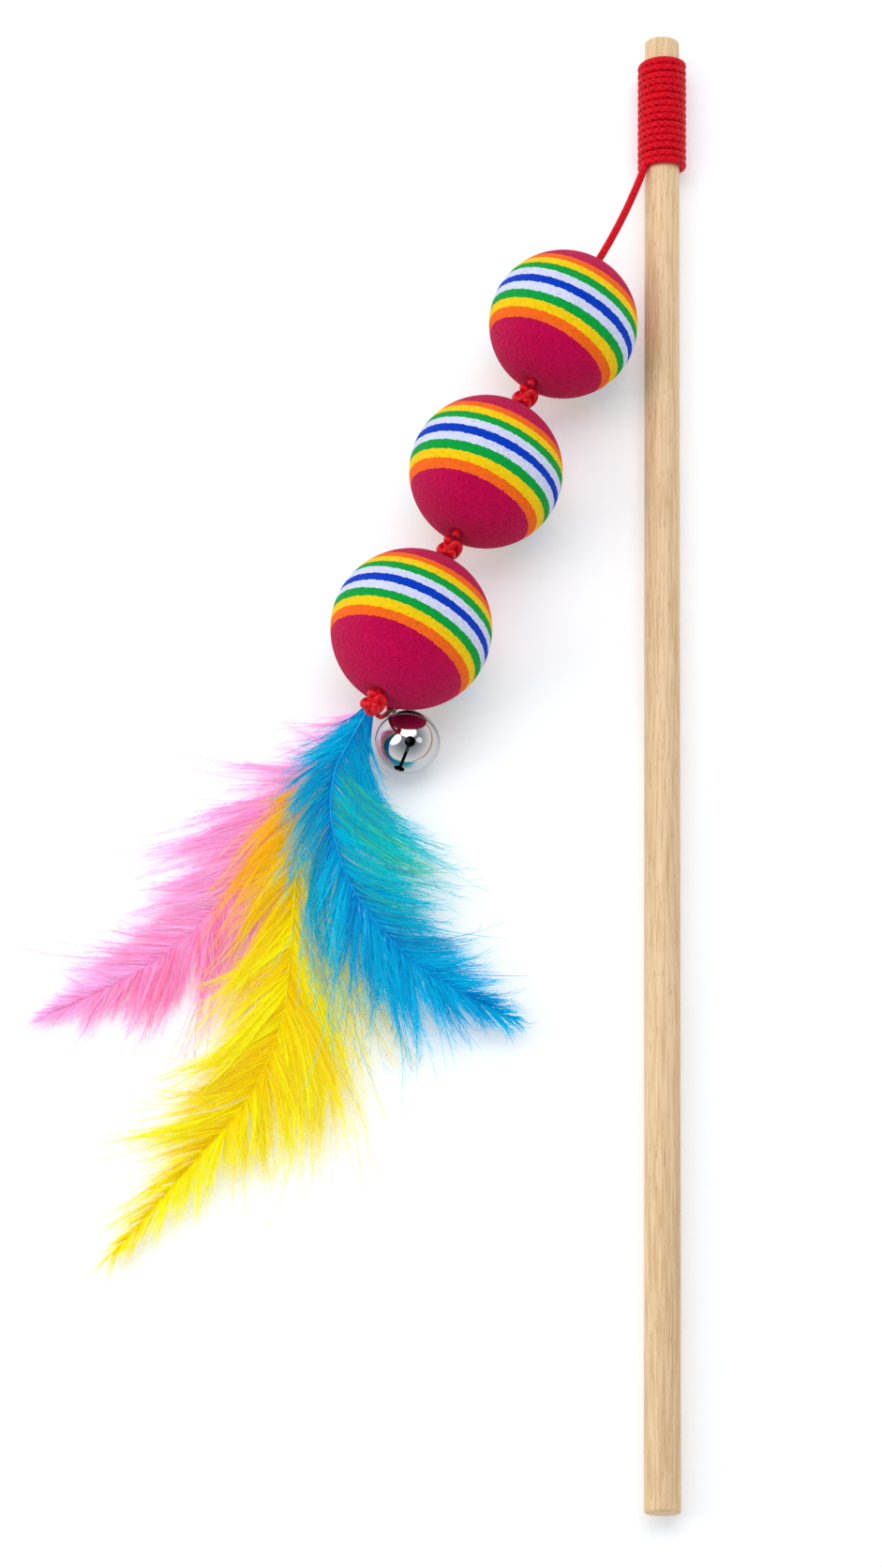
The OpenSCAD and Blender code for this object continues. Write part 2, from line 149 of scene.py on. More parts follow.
def strands(lines: Array, thick: Array, roll: Array) -> tuple[Array, list[Array]]:
    """Makes closed three-sided strands that taper to a point.

    Args:
        lines: Points of each strand, one row of points for each.
        thick: Each strand's half width at each of its points.
        roll: Each strand's own roll, in radians.

    Returns:
        The vertices and the faces.
    """
    n, m, _ = lines.shape
    t = units(np.gradient(lines, axis=1))
    side = units(np.cross(t, UP))
    up = np.cross(side, t)
    ring = []
    for a in STRAND_CORNERS:
        c = np.cos(math.radians(a) + roll)[:, None, None]
        s = np.sin(math.radians(a) + roll)[:, None, None]
        out = c * side[:, :-1] + STRAND_FLAT * s * up[:, :-1]
        ring.append(lines[:, :-1] + thick[:, :-1, None] * out)
    body = np.stack(ring, axis=2).reshape(n, (m - 1) * 3, 3)
    points = np.concatenate([body, lines[:, -1:]], axis=1)
    last = 3 * (m - 2)
    tris = np.array([[0, 2, 1], *([last + k, last + (k + 1) % 3, last + 3] for k in range(3))])
    base = (np.arange(n) * points.shape[1])[:, None, None]
    quads = (base + grid_faces(m - 1, 3, closed=True)).reshape(-1, 4)
    return points.reshape(-1, 3), [quads, (base + tris).reshape(-1, 3)]


def add_piece(name: str, points: Array, faces: Sequence[Array], smooth: bool = True) -> Piece:
    """Makes a mesh piece and puts it in the scene.

    Args:
        name: The piece's name.
        points: Its vertices, in metres.
        faces: Arrays of faces, each with one count of corners.
        smooth: True where light runs smoothly over the faces.

    Returns:
        The new piece.
    """
    mesh = bpy.data.meshes.new(name)
    corners = np.concatenate([f.ravel() for f in faces]).astype(np.int32)
    counts = np.concatenate([np.full(len(f), f.shape[1]) for f in faces])
    starts = np.concatenate([[0], np.cumsum(counts)[:-1]]).astype(np.int32)
    mesh.vertices.add(len(points))
    mesh.vertices.foreach_set("co", points.astype(np.float32).ravel())
    mesh.loops.add(len(corners))
    mesh.loops.foreach_set("vertex_index", corners)
    mesh.polygons.add(len(counts))
    mesh.polygons.foreach_set("loop_start", starts)
    mesh.polygons.foreach_set("use_smooth", np.full(len(counts), smooth))
    mesh.update()
    mesh.validate()
    piece = bpy.data.objects.new(name, mesh)
    bpy.context.scene.collection.objects.link(piece)
    return piece


def set_uv(piece: Piece, uv: Array) -> None:
    """Gives each vertex of a piece a place on its wrap, read at every corner.

    Args:
        piece: The piece.
        uv: Each vertex's place on the wrap.
    """
    mesh = piece.data
    layer = mesh.uv_layers.new(name="wrap")
    at = np.zeros(len(mesh.loops), np.int32)
    mesh.loops.foreach_get("vertex_index", at)
    layer.data.foreach_set("uv", uv[at].astype(np.float32).ravel())


def dress(piece: Piece, material: Material) -> None:
    """Puts one material on the whole of a piece."""
    piece.data.materials.clear()
    piece.data.materials.append(material)


def settle(piece: Piece, material: Material, body: str, slot: str, *nodes: str) -> None:
    """Dresses a piece and lets it ride on a body in the place of some nodes.

    Args:
        piece: The piece.
        material: Its material.
        body: The body that it moves with.
        slot: The record's material slot; not used.
        *nodes: The nodes that it stands for.
    """
    dress(piece, material)
    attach(piece, body)
    if nodes:
        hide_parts(*nodes)
    LOG.info("%s rides on %s", piece.name, body)


class Graph:
    """The nodes of a material or of the world, with short ways to add and join them."""

    def __init__(self, name: str, world: bool = False) -> None:
        """Starts an empty material or world with its output.

        Args:
            name: Its name.
            world: True for a world.
        """
        self.owner = (bpy.data.worlds if world else bpy.data.materials).new(name)
        self.owner.use_nodes = True
        self.tree = self.owner.node_tree
        self.tree.nodes.clear()
        self.out = self.tree.nodes.new("ShaderNodeOutput" + ("World" if world else "Material"))

    def add(self, kind: str, values: dict[str, Any] | None = None, **settings: Any) -> Any:
        """Adds a node.

        Args:
            kind: The node's type, without its first words.
            values: Numbers, colours or other nodes' sockets for its inputs.
            **settings: Properties of the node itself.

        Returns:
            The node.
        """
        node = self.tree.nodes.new("ShaderNode" + kind)
        for key, value in settings.items():
            setattr(node, key, value)
        for key, value in (values or {}).items():
            if isinstance(value, bpy.types.NodeSocket):
                self.tree.links.new(value, node.inputs[key])
            else:
                node.inputs[key].default_value = value
        return node

    def math(self, how: str, a: Any, b: Any = 0.0) -> Any:
        """Returns the result socket of a sum on two numbers or sockets."""
        return self.add("Math", {0: a, 1: b}, operation=how).outputs[0]

    def weighted(self, a: Any, b: Any, share: float) -> Any:
        """Returns a and b mixed, with that share of a."""
        first, second = self.math("MULTIPLY", a, share), self.math("MULTIPLY", b, 1 - share)
        return self.math("ADD", first, second)

    def place(self, stretch: float = 1.0) -> Any:
        """Adds the place on the object, stretched for marks that run along Y.

        Args:
            stretch: What the place's Y is multiplied by.

        Returns:
            The place's socket.
        """
        place = self.add("TexCoord").outputs["Object"]
        if stretch == 1.0:
            return place
        return self.add("Mapping", {"Vector": place, "Scale": (1.0, stretch, 1.0)}).outputs[0]

    def noise(self, place: Any, scale: float, detail: float, roughness: float = 0.5) -> Any:
        """Returns the value socket of a noise with that many cells in a metre."""
        values = {"Vector": place, "Scale": scale, "Detail": detail, "Roughness": roughness}
        return self.add("TexNoise", values).outputs[0]

    def ramp(self, value: Any, stops: Sequence[tuple[float, Rgb]]) -> Any:
        """Adds a ramp of colours.

        Args:
            value: The socket or number that runs along the ramp.
            stops: Places on the ramp, from 0 to 1, and their colours.

        Returns:
            The colour's socket.
        """
        node = self.add("ValToRGB", {"Fac": value})
        line = node.color_ramp
        while len(line.elements) < len(stops):
            line.elements.new(0.5)
        for element, (place, colour) in zip(line.elements, stops):
            element.position = place
            element.color = (*colour, 1.0)
        return node.outputs["Color"]

    def tones(self, value: Any, colour: Rgb, stops: dict[float, float]) -> Any:
        """Returns a ramp of one colour, made darker or lighter at each stop."""
        return self.ramp(value, [(place, shade(colour, by)) for place, by in stops.items()])

    def bump(self, height: Any, depth: float, strength: float = 1.0) -> Any:
        """Returns the normal socket of a bump of that depth in metres."""
        node = self.add("Bump", {"Height": height, "Distance": depth, "Strength": strength})
        return node.outputs["Normal"]

    def surface(self, colour: Any, roughness: Any, more: dict[str, Any]) -> Any:
        """Returns the shader socket of a surface with this colour and more inputs."""
        values = {"Base Color": colour, "Roughness": roughness, **more}
        return self.add("BsdfPrincipled", values).outputs[0]

    def finish(self, shader: Any) -> Any:
        """Joins a shader to the output and returns the material or world."""
        self.tree.links.new(shader, self.out.inputs["Surface"])
        return self.owner


def shade(colour: Rgb, by: float) -> Rgb:
    """Returns a colour made lighter or darker, kept from 0 to 1."""
    return tuple(min(1.0, max(0.0, c * by)) for c in colour)


@dataclass(frozen=True)
class WoodFinish:
    """Bare pale birch, with long grain streaks and short pores."""

    pale: Rgb = (0.76, 0.54, 0.315)
    dark: Rgb = (0.56, 0.35, 0.17)
    pore: Rgb = (0.36, 0.18, 0.07)

    def material(self) -> Material:
        """Makes the wood, with its grain along Y.

        Returns:
            Its material.
        """
        g = Graph("birch_wood")
        long = g.place(stretch=0.03)
        broad = g.noise(long, scale=330.0, detail=4.0)
        fine = g.noise(long, scale=2300.0, detail=3.0, roughness=0.6)
        streak = g.weighted(broad, fine, share=0.35)
        mid = tuple((a + b) / 2 for a, b in zip(self.pale, self.dark))
        stops = [(0.36, self.dark), (0.47, mid), (0.56, self.pale), (0.7, shade(self.pale, 1.08))]
        dots = g.noise(g.place(stretch=0.1), scale=2600.0, detail=1.0, roughness=0.4)
        pore = g.ramp(dots, [(0.64, BLACK), (0.73, WHITE)])
        share = g.math("MULTIPLY", pore, 0.4)
        inputs = {"Factor": share, "A": g.ramp(streak, stops), "B": (*self.pore, 1.0)}
        colour = g.add("Mix", inputs, data_type="RGBA").outputs["Result"]
        height = g.math("SUBTRACT", streak, g.math("MULTIPLY", pore, 0.3))
        normal = g.bump(height, depth=0.12 * MM, strength=0.5)
        return g.finish(g.surface(colour, roughness=0.62, more={"Normal": normal}))


@dataclass(frozen=True)
class CordFinish:
    """Red waxed cord with a fine round braid, painted lighter on its crests as highlight and
    darker in its grooves as shade.
    """

    name: str
    colour: Rgb = (0.66, 0.0008, 0.012)
    roughness: float = 0.45
    gloss: float = 0.1
    depth: float = 0.12 * MM
    coat: float = 0.0
    # Share of the braid in the colour: painted highlight on its crests, painted shade in its
    # grooves.
    marks: float = 0.16
    strands: float = 5.0
    lay: float = 560.0

    def material(self) -> Material:
        """Makes the cord's finish, with the braid on the wrap, as relief and as painted highlight
        and shade in the colour.

        Returns:
            Its material.
        """
        g = Graph(self.name)
        wrap = g.add("SeparateXYZ", {0: g.add("UVMap", uv_map="wrap").outputs[0]})
        across = g.math("MULTIPLY", wrap.outputs[0], self.strands * TURN)
        along = g.math("MULTIPLY", wrap.outputs[1], self.lay * TURN)
        left = g.math("SINE", g.math("ADD", across, along))
        right = g.math("SINE", g.math("SUBTRACT", across, along))
        braid = g.math("MAXIMUM", left, right)
        wear = g.noise(g.place(), scale=900.0, detail=3.0)
        # The colour follows the braid: painted shade in its grooves and painted highlight on its
        # crests, mixed with random wear.
        deep = g.math("ADD", g.math("MULTIPLY", braid, self.marks), wear)
        inputs = {
            "Specular IOR Level": self.gloss,
            "Coat Weight": self.coat,
            "Coat Roughness": 0.12,
            "Normal": g.bump(braid, self.depth, strength=0.8),
        }
        colour = g.tones(deep, self.colour, {0.3: 0.55, 0.6: 1.0, 0.95: 1.3})
        return g.finish(g.surface(colour, self.roughness, more=inputs))


@dataclass(frozen=True)
class FoamFinish:
    """Closed-cell foam: matt, with a fine cut grain and tiny pits, and a mottle that is partly
    painted glint and shade.
    """

    name: str
    colour: Rgb
    mottle_and_glint: float = 0.07
    relief: float = 0.9 * MM
    rim: float = 0.1

    def material(self) -> Material:
        """Makes the foam, with its cut grain and its pits.

        Returns:
            Its material.
        """
        g = Graph(self.name)
        place = g.place()
        grain = g.noise(place, scale=950.0, detail=4.0, roughness=0.7)
        cloud = g.noise(place, scale=160.0, detail=2.0)
        cells = g.add("TexVoronoi", {"Vector": place, "Scale": 1050.0, "Randomness": 1.0})
        pits = g.ramp(cells.outputs["Distance"], [(0.05, BLACK), (0.3, WHITE)])
        height = g.math("ADD", grain, g.math("MULTIPLY", pits, 0.3))
        # The grain that raises the bump also sets the colour: lighter on its crests, darker in its
        # dips; partly random mottle, partly painted highlight and shade.
        stops = {0.36: 1 - 1.5 * self.mottle_and_glint, 0.5: 1.0, 0.64: 1 + 1.3 * self.mottle_and_glint}
        inputs = {
            "Specular IOR Level": 0.04,
            "Normal": g.bump(height, self.relief),
            "Sheen Weight": self.rim,
            "Sheen Roughness": 0.35,
            "Sheen Tint": (*(0.35 + 0.65 * c for c in self.colour), 1.0),
        }
        colour = g.tones(g.weighted(grain, cloud, share=0.8), self.colour, stops)
        return g.finish(g.surface(colour, roughness=0.7, more=inputs))


@dataclass(frozen=True)
class PlateFinish:
    """Bright nickel plate, with faint polishing marks."""

    name: str
    colour: Rgb = (0.53, 0.53, 0.535)
    low: float = 0.05
    high: float = 0.13

    def material(self) -> Material:
        """Makes the plate, with its haze and its polishing marks.

        Returns:
            Its material.
        """
        g = Graph(self.name)
        place = g.place()
        haze = g.noise(place, scale=380.0, detail=4.0)
        rough = g.add("MapRange", {"Value": haze, "To Min": self.low, "To Max": self.high})
        fine = g.noise(place, scale=2600.0, detail=2.0)
        marks = g.bump(fine, depth=0.004 * MM, strength=0.4)
        inputs = {"Metallic": 1.0, "Normal": marks}
        return g.finish(g.surface((*self.colour, 1.0), rough.outputs[0], more=inputs))


@dataclass(frozen=True)
class BarbFinish:
    """Dyed feather barbs: soft, a little see-through, coloured strand by strand, with a painted
    glow in their own dye.
    """

    name: str
    glow: float = 0.45
    # Strength of the painted glow: the barbs give off light in their own dye, though they are no
    # lamp.
    painted_glow: float = 0.12

    def material(self) -> Material:
        """Makes the barbs' finish, which reads each strand's own dye and gives off that dye as a
        painted glow.

        Returns:
            Its material.
        """
        g = Graph(self.name)
        dye = g.add("Attribute", attribute_name="dye").outputs["Color"]
        inputs = {
            "Specular IOR Level": 0.08,
            # Painted glow: emission in the barb's own dye brightens it as if it were lit more.
            "Emission Color": dye,
            "Emission Strength": self.painted_glow,
        }
        body = g.surface(dye, roughness=0.7, more=inputs)
        through = g.add("BsdfTranslucent", {"Color": dye}).outputs[0]
        return g.finish(g.add("MixShader", {0: self.glow, 1: body, 2: through}).outputs[0])


@dataclass(frozen=True)
class QuillFinish:
    """A quill: smooth horn with a pale streaked dye."""

    name: str
    colour: Rgb

    def material(self) -> Material:
        """Makes the quill's horn.

        Returns:
            Its material.
        """
        g = Graph(self.name)
        streak = g.noise(g.place(), scale=300.0, detail=3.0)
        colour = g.tones(streak, self.colour, {0.3: 0.8, 0.7: 1.1})
        return g.finish(g.surface(colour, roughness=0.55, more={"Specular IOR Level": 0.2}))


@dataclass(frozen=True)
class Tube:
    """A round or oval tube along a line of points.

    The ups are one direction for the whole tube or one for each point. The caps give the
    size and the height of each ring of a domed end, as shares, from its tip.
    """

    points: Array
    ups: Array
    across: float
    deep: float
    sides: int
    caps: tuple[Pair, ...] = ((0.02, 1.0), (0.5, 0.87), (0.85, 0.5))

    def rings(self) -> Array:
        """Lays a ring of vertices round each point.

        Returns:
            The rings, each with its first vertex once more at its end.
        """
        p = self.points
        t = units(np.gradient(p, axis=0))
        up = units(self.ups - np.sum(self.ups * t, axis=1)[:, None] * t)
        side = np.cross(up, t)
        a = np.arange(self.sides + 1) * TURN / self.sides
        out = self.across * np.cos(a)[None, :, None] * side[:, None]
        return p[:, None] + out + self.deep * np.sin(a)[None, :, None] * up[:, None]

    def piece(self, name: str, dome: float = 0.6) -> Piece:
        """Makes the tube as a piece with domed ends.

        Args:
            name: The piece's name.
            dome: How far each end bulges, as a share of the tube's depth.

        Returns:
            The piece, with its wrap from side to side and in metres along.
        """
        rings = self.rings()

        def cap(end: int, next_in: int) -> list[Array]:
            """Lays the rings of one domed end.

            Args:
                end: The number of the tube's end point.
                next_in: The number of the point beside it.

            Returns:
                The rings, from the tip.
            """
            p = self.points[end]
            out = unit(p - self.points[next_in])
            return [p + s * (rings[end] - p) + d * dome * self.deep * out for s, d in self.caps]

        rings = np.concatenate([cap(0, 1), rings, cap(-1, -2)[::-1]])
        n, m = len(rings), self.sides + 1
        piece = add_piece(name, rings.reshape(-1, 3), [grid_faces(n, m)[:, ::-1]])
        middle = rings[:, : self.sides].mean(axis=1)
        run = np.concatenate([[0], np.cumsum(np.linalg.norm(np.diff(middle, axis=0), axis=1))])
        wrap = np.broadcast_arrays(np.arange(m)[None] / self.sides, run[:, None])
        set_uv(piece, np.stack(wrap, axis=-1).reshape(-1, 2))
        return piece


@dataclass(frozen=True)
class Stick:
    """The wooden stick, which keeps its own solid."""

    finish: WoodFinish = WoodFinish()

    def build(self) -> None:
        """Dresses the stick."""
        dress(frame["nodes"]["dowel"], self.finish.material())
        LOG.info("the stick is dressed")


@dataclass(frozen=True)
class Winding:
    """Nearly fifteen turns of cord round the stick, pressed side to side."""

    material: Material
    stick_r: float = 4.75 * MM
    clear: float = 0.05 * MM
    cord_r: float = 0.95 * MM
    pitch: float = 2.0954 * MM
    squash: float = 0.015 * MM
    turns: float = 14.75
    top_y: float = 399.3 * MM
    per_turn: int = 72
    wander: Pair = (0.09 * MM, 0.05 * MM)

    def path(self) -> tuple[Array, Array]:
        """Winds the cord down the stick.

        Returns:
            Its points, and the way out from the stick at each.
        """
        n = int(self.turns * self.per_turn)
        turn = np.arange(n + 1) / self.per_turn
        a = -math.pi / 2 + turn * TURN
        wander = self.wander[0] * np.sin(1.7 * turn + 0.6) * np.sin(a)
        wander += self.wander[1] * np.sin(2.9 * turn) * np.cos(a + 1.1)
        wander *= np.clip(turn, 0, 1) * np.clip(self.turns - turn, 0, 1)
        r = self.stick_r + self.clear + self.cord_r
        out = np.stack([np.cos(a), np.zeros(n + 1), np.sin(a)], axis=1)
        points = r * out
        points[:, 1] = self.top_y - turn * self.pitch + wander
        return points, out

    def build(self) -> None:
        """Makes the winding."""
        points, out = self.path()
        tube = Tube(points, out, self.pitch / 2 + self.squash, self.cord_r, sides=18)
        settle(tube.piece("winding"), self.material, "wand", CORD_SLOT, "cord_winding")


@dataclass(frozen=True)
class Lead:
    """The free cord from the winding to the first ball, in a root and a long piece.
    """

    material: Material
    cord_r: float = 1.04 * MM
    sag: float = 0.25 * MM
    bow: float = 0.8 * MM
    root: Spot = (-4.75 * MM, 368.0 * MM, 3.45 * MM)
    steps: int = 50
    cut: int = 6
    bend_end: int = 20

    def path(self) -> Array:
        """Draws the lead, which comes out from under the last turn.

        Returns:
            Its points.
        """
        start, end = np.array(self.root), joint_spot("ball_1_nod")
        s = np.linspace(0, 1, self.steps + 1)[:, None]
        line = start + s * (end - start)
        hump = 4 * s * (1 - s)
        aside = unit(np.cross(end - start, UP))
        return line - hump * self.bow * aside - hump * self.sag * UP

    def piece(
        self, name: str, path: Array, bodies: tuple[str, str], end: Array, node: str
    ) -> Piece:
        """Makes one piece of the lead.

        Args:
            name: The piece's name.
            path: Its points.
            bodies: The two bodies named in the log.
            end: A point along the path; not used.
            node: The node that it stands for.

        Returns:
            The piece.
        """
        piece = Tube(path, UP, self.cord_r, self.cord_r, sides=18).piece(name, dome=0.3)
        dress(piece, self.material)
        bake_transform(piece)
        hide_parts(node)
        LOG.info("%s bends between %s and %s", name, *bodies)
        return piece

    def build(self) -> None:
        """Makes the lead."""
        path = self.path()
        root, free = path[: self.cut + 1], path[self.cut :]
        self.piece("lead_root_cord", root, ("wand", "lead_root"), root[-1], "lead_root")
        end = path[self.bend_end]
        long = self.piece("lead_cord", free, ("lead_root", "lead"), end, "cord_lead")


class Foam(Enum):
    """The foams of a ball, from its caps to its middle sheet."""

    CAPS = ("caps", "foam_magenta", (0.57, 0.001, 0.074), (0, 10))
    ORANGE = ("orange", "foam_orange", (0.98, 0.15, 0.012), (1, 9))
    YELLOW = ("yellow", "foam_yellow", (0.97, 0.62, 0.006), (2, 8))
    GREEN = ("green", "foam_green", (0.002, 0.36, 0.05), (3, 7))
    WHITE = ("white", "foam_white", (0.7, 0.715, 0.92), (4, 6))
    BLUE = ("blue", "foam_blue", (0.0, 0.045, 0.54), (5,))

    def __init__(self, node: str, slot: str, colour: Rgb, slabs: tuple[int, ...]) -> None:
        """Gives each part of the value its name.

        Args:
            node: The end of the node's name.
            slot: The record's material slot.
            colour: The foam's colour.
            slabs: Its slabs of the ball, from the lower cap up.
        """
        self.node = node
        self.slot = slot
        self.colour = colour
        self.slabs = slabs


@dataclass(frozen=True)
class StripedBall:
    """A ball glued up from flat foam sheets and turned round.

    The waves are the cycles of each glued edge's ripples and their shares.
    """

    number: int
    radius: float
    middle_off: float
    materials: dict[Foam, Material]
    sheet: float = 2.4 * MM
    bore_r: float = 1.05 * MM
    dimple: float = 1.0 * MM
    dimple_r: float = 2.3 * MM
    ragged: float = 0.11 * MM
    waves: tuple[tuple[int, float], ...] = (
        (2, 0.8), (5, 0.5), (23, 0.35), (41, 0.45), (67, 0.5), (97, 0.5), (131, 0.45)
    )
    last_slab: int = 10
    around: int = 320
    sheet_rows: int = 4
    cap_rows: int = 34
    cap_spacing: float = 0.8

    @property
    def middle(self) -> Array:
        """The ball's centre."""
        return joint_spot(f"ball_{self.number}_spin")

    @property
    def pole(self) -> Array:
        """The way to the ball's upper mouth, along the cord."""
        return -joint_axis(f"ball_{self.number}_spin")

    def basis(self) -> tuple[Array, Array]:
        """Returns two directions square to the cord."""
        side = unit(np.cross(self.pole, UP))
        return side, np.cross(self.pole, side)

    def angles(self) -> Array:
        """Returns the angles of the points round the cord."""
        return np.arange(self.around) * TURN / self.around

    def edge(self, border: int) -> Array:
        """Draws one glued edge, which is a little ragged.

        Args:
            border: The edge's number, from the lower cap up.

        Returns:
            Its height all round.
        """
        rng = np.random.default_rng(100 * self.number + border)
        wave = np.zeros(self.around)
        for cycles, share in self.waves:
            wave += share * np.sin(cycles * self.angles() + rng.uniform(0, TURN))
        middle_border = (self.last_slab - 1) / 2
        return self.middle_off + (border - middle_border) * self.sheet + self.ragged * wave

    def wall(self, low: Array, high: Array) -> list[tuple[Array, Array]]:
        """Lays the outer rows of a sheet.

        Args:
            low: Heights of its lower edge.
            high: Heights of its upper edge.

        Returns:
            Radii and heights, row by row.
        """
        rows = []
        for share in np.linspace(0, 1, self.sheet_rows + 1):
            h = low + share * (high - low)
            rows.append((np.sqrt(self.radius**2 - h**2), h))
        return rows

    def dome(self, edge: Array, side: int) -> list[tuple[Array, Array]]:
        """Returns the rows of a cap, from its glued edge to its dimpled mouth.

        Args:
            edge: Heights of the glued edge.
            side: 1 for the upper cap, -1 for the lower one.

        Returns:
            Radii and heights, row by row.
        """
        start = np.arccos(np.clip(side * edge / self.radius, -1, 1))
        end = math.asin(self.bore_r / self.radius)
        rows = []
        for share in np.linspace(0, 1, self.cap_rows + 1) ** self.cap_spacing:
            a = start + share * (end - start)
            r = self.radius * np.sin(a)
            dip = self.dimple * np.exp(-((r / self.dimple_r) ** 2))
            rows.append((r, side * (self.radius * np.cos(a) - dip)))
        return rows

    def grid(self, rows: list[tuple[Array, Array]]) -> Array:
        """Sets rows round the cord.

        Args:
            rows: Radii and heights, row by row.

        Returns:
            The points, row by row.
        """
        side, back = self.basis()
        a = self.angles()[:, None]
        ways = np.cos(a) * side + np.sin(a) * back
        return np.array([
            self.middle + np.asarray(h)[..., None] * self.pole + np.asarray(r)[..., None] * ways
            for r, h in rows
        ])

    def solid(self, slabs: Sequence[int]) -> tuple[Array, Array]:
        """Makes some slabs of the ball, each a closed ring round the cord.

        Args:
            slabs: Their numbers, from the lower cap up.

        Returns:
            Their points and faces.
        """
        points, faces, count = [], [], 0
        bore = np.full(self.around, self.bore_r)
        for slab in slabs:
            if slab == 0:
                outer = self.dome(self.edge(0), -1)[::-1]
            elif slab == self.last_slab:
                outer = self.dome(self.edge(slab - 1), 1)
            else:
                outer = self.wall(self.edge(slab - 1), self.edge(slab))
            bottom, top = outer[0], outer[-1]
            inner = [top, (bore, top[1]), (bore, bottom[1]), bottom]
            for rows in (outer, inner):
                grid = self.grid(rows).reshape(-1, 3)
                points.append(grid)
                faces.append(count + grid_faces(len(rows), self.around, closed=True))
                count += len(grid)
        return np.concatenate(points), np.concatenate(faces)

    def build(self) -> None:
        """Makes the six foams of the ball."""
        for foam in Foam:
            points, faces = self.solid(foam.slabs)
            name = f"ball_{self.number}_{foam.node}"
            piece = add_piece(f"{name}_foam", points, [faces])
            settle(piece, self.materials[foam], f"ball_{self.number}", foam.slot, name)


@dataclass(frozen=True)
class BallCord:
    """The cord inside a ball, with a short end at each mouth."""

    number: int
    radius: float
    material: Material
    cord_r: float = 0.95 * MM
    upper_end: float = 0.2 * MM
    lower_end: float = 0.6 * MM
    steps: int = 60

    def build(self) -> None:
        """Makes the cord through the ball."""
        middle = joint_spot(f"ball_{self.number}_spin")
        down = joint_axis(f"ball_{self.number}_spin")
        upper, lower = self.radius + self.upper_end, self.radius + self.lower_end
        run = np.linspace(-upper, lower, self.steps)
        tube = Tube(middle + run[:, None] * down, UP, self.cord_r, self.cord_r, sides=16)
        piece = tube.piece(f"cord_in_ball_{self.number}")
        settle(piece, self.material, f"cord_{self.number}", CORD_SLOT, f"ball_cord_{self.number}")


@dataclass(frozen=True)
class Knot:
    """A knot pulled tight: three lobes in two full turns, with angles in degrees."""

    node: str
    body: str
    middle: Array
    axis: Array
    material: Material
    ring_r: float = 1.54 * MM
    lobe_r: float = 0.72 * MM
    half_len: float = 1.85 * MM
    strand_r: float = 1.18 * MM
    opening: float = 27.0
    full: float = 720.0
    lobes_a_turn: float = 1.5
    steps: int = 200

    def path(self) -> Array:
        """Ties the cord: twice round, with a lobe at each third of the way.

        Returns:
            Its points.
        """
        turned = np.linspace(self.opening, self.full - self.opening, self.steps + 1)
        a = np.radians(turned)[:, None]
        r = self.ring_r + self.lobe_r * np.cos(self.lobes_a_turn * a)
        side = unit(np.cross(UP, self.axis))
        over = np.cross(self.axis, side)
        flat = r * np.cos(a) * over + r * np.sin(a) * side
        return self.middle + flat + self.half_len * np.sin(self.lobes_a_turn * a) * self.axis

    def build(self) -> None:
        """Makes the knot."""
        path = self.path()
        away = path - self.middle
        away -= (away @ self.axis)[:, None] * self.axis
        tube = Tube(path, away, self.strand_r, self.strand_r, sides=16)
        piece = tube.piece(f"{self.node}_cord")
        settle(piece, self.material, self.body, CORD_SLOT, self.node)


@dataclass(frozen=True)
class BellTie:
    """The cord's tail from the end knot round the jump ring, with angles in degrees.

    Its start in the knot and its bow before the eye lie off the knot's middle by these
    shares of the pulled length. The eye's gap is from the wire's middle to the cord.
    """

    material: Material
    cord_r: float = 0.65 * MM
    eye_gap: float = 0.65 * MM
    start_shares: Spot = (0.92, -2.0, -2.23)
    bow_shares: Spot = (1.62, -0.92, -6.92)
    pulled: float = 1.3 * MM
    eye_from: float = 15.0
    eye_turn: float = 180.0
    eye_steps: int = 11
    steps: int = 90

    def path(self) -> Array:
        """Draws the tail out of the knot and round the ring's wire.

        Returns:
            Its points.
        """
        knot, ring_top = joint_spot("end_swing"), joint_spot("ring_swing")
        tangent = joint_axis("ring_swing")
        start = knot + self.pulled * np.array(self.start_shares)
        bow = knot + self.pulled * np.array(self.bow_shares)
        out = bow - ring_top
        out = unit(out - (out @ tangent) * tangent)
        side = np.cross(tangent, out)
        a = np.radians(self.eye_from + np.linspace(0, self.eye_turn, self.eye_steps))[:, None]
        arc = ring_top + (self.eye_gap + self.cord_r) * (np.cos(a) * out + np.sin(a) * side)
        route = np.concatenate([[start], [bow], arc])
        return smooth_curve(route, np.linspace(0, len(route) - 1, self.steps))

    def build(self) -> None:
        """Makes the tail."""
        tube = Tube(self.path(), joint_axis("ring_swing"), self.cord_r, self.cord_r, sides=12)
        settle(tube.piece("bell_tail_cord"), self.material, "end_knot", CORD_SLOT, "bell_tie")


@dataclass(frozen=True)
class Bell:
    """The bell, its ring and its pellet, which keep their own solids."""

    plate: PlateFinish = PlateFinish("nickel_plate")
    pellet: PlateFinish = PlateFinish("pellet_steel", (0.3, 0.3, 0.31), 0.25, 0.4)

    def build(self) -> None:
        """Dresses the bell."""
        plate = self.plate.material()
        for name in ("bell_crown", "bell_base", "jump_ring"):
            dress(frame["nodes"][name], plate)
        dress(frame["nodes"]["bell_pellet"], self.pellet.material())
        LOG.info("the bell is dressed")


class Side(Enum):
    """The two vanes of a feather, as they lie when its tip points down the picture."""

    LEFT = -1
    RIGHT = 1

    def out(self, ahead: Array) -> Array:
        """Returns the ways out from a quill on this side, where it heads these ways."""
        return self.value * np.stack([-ahead[:, 1], ahead[:, 0]], axis=1)


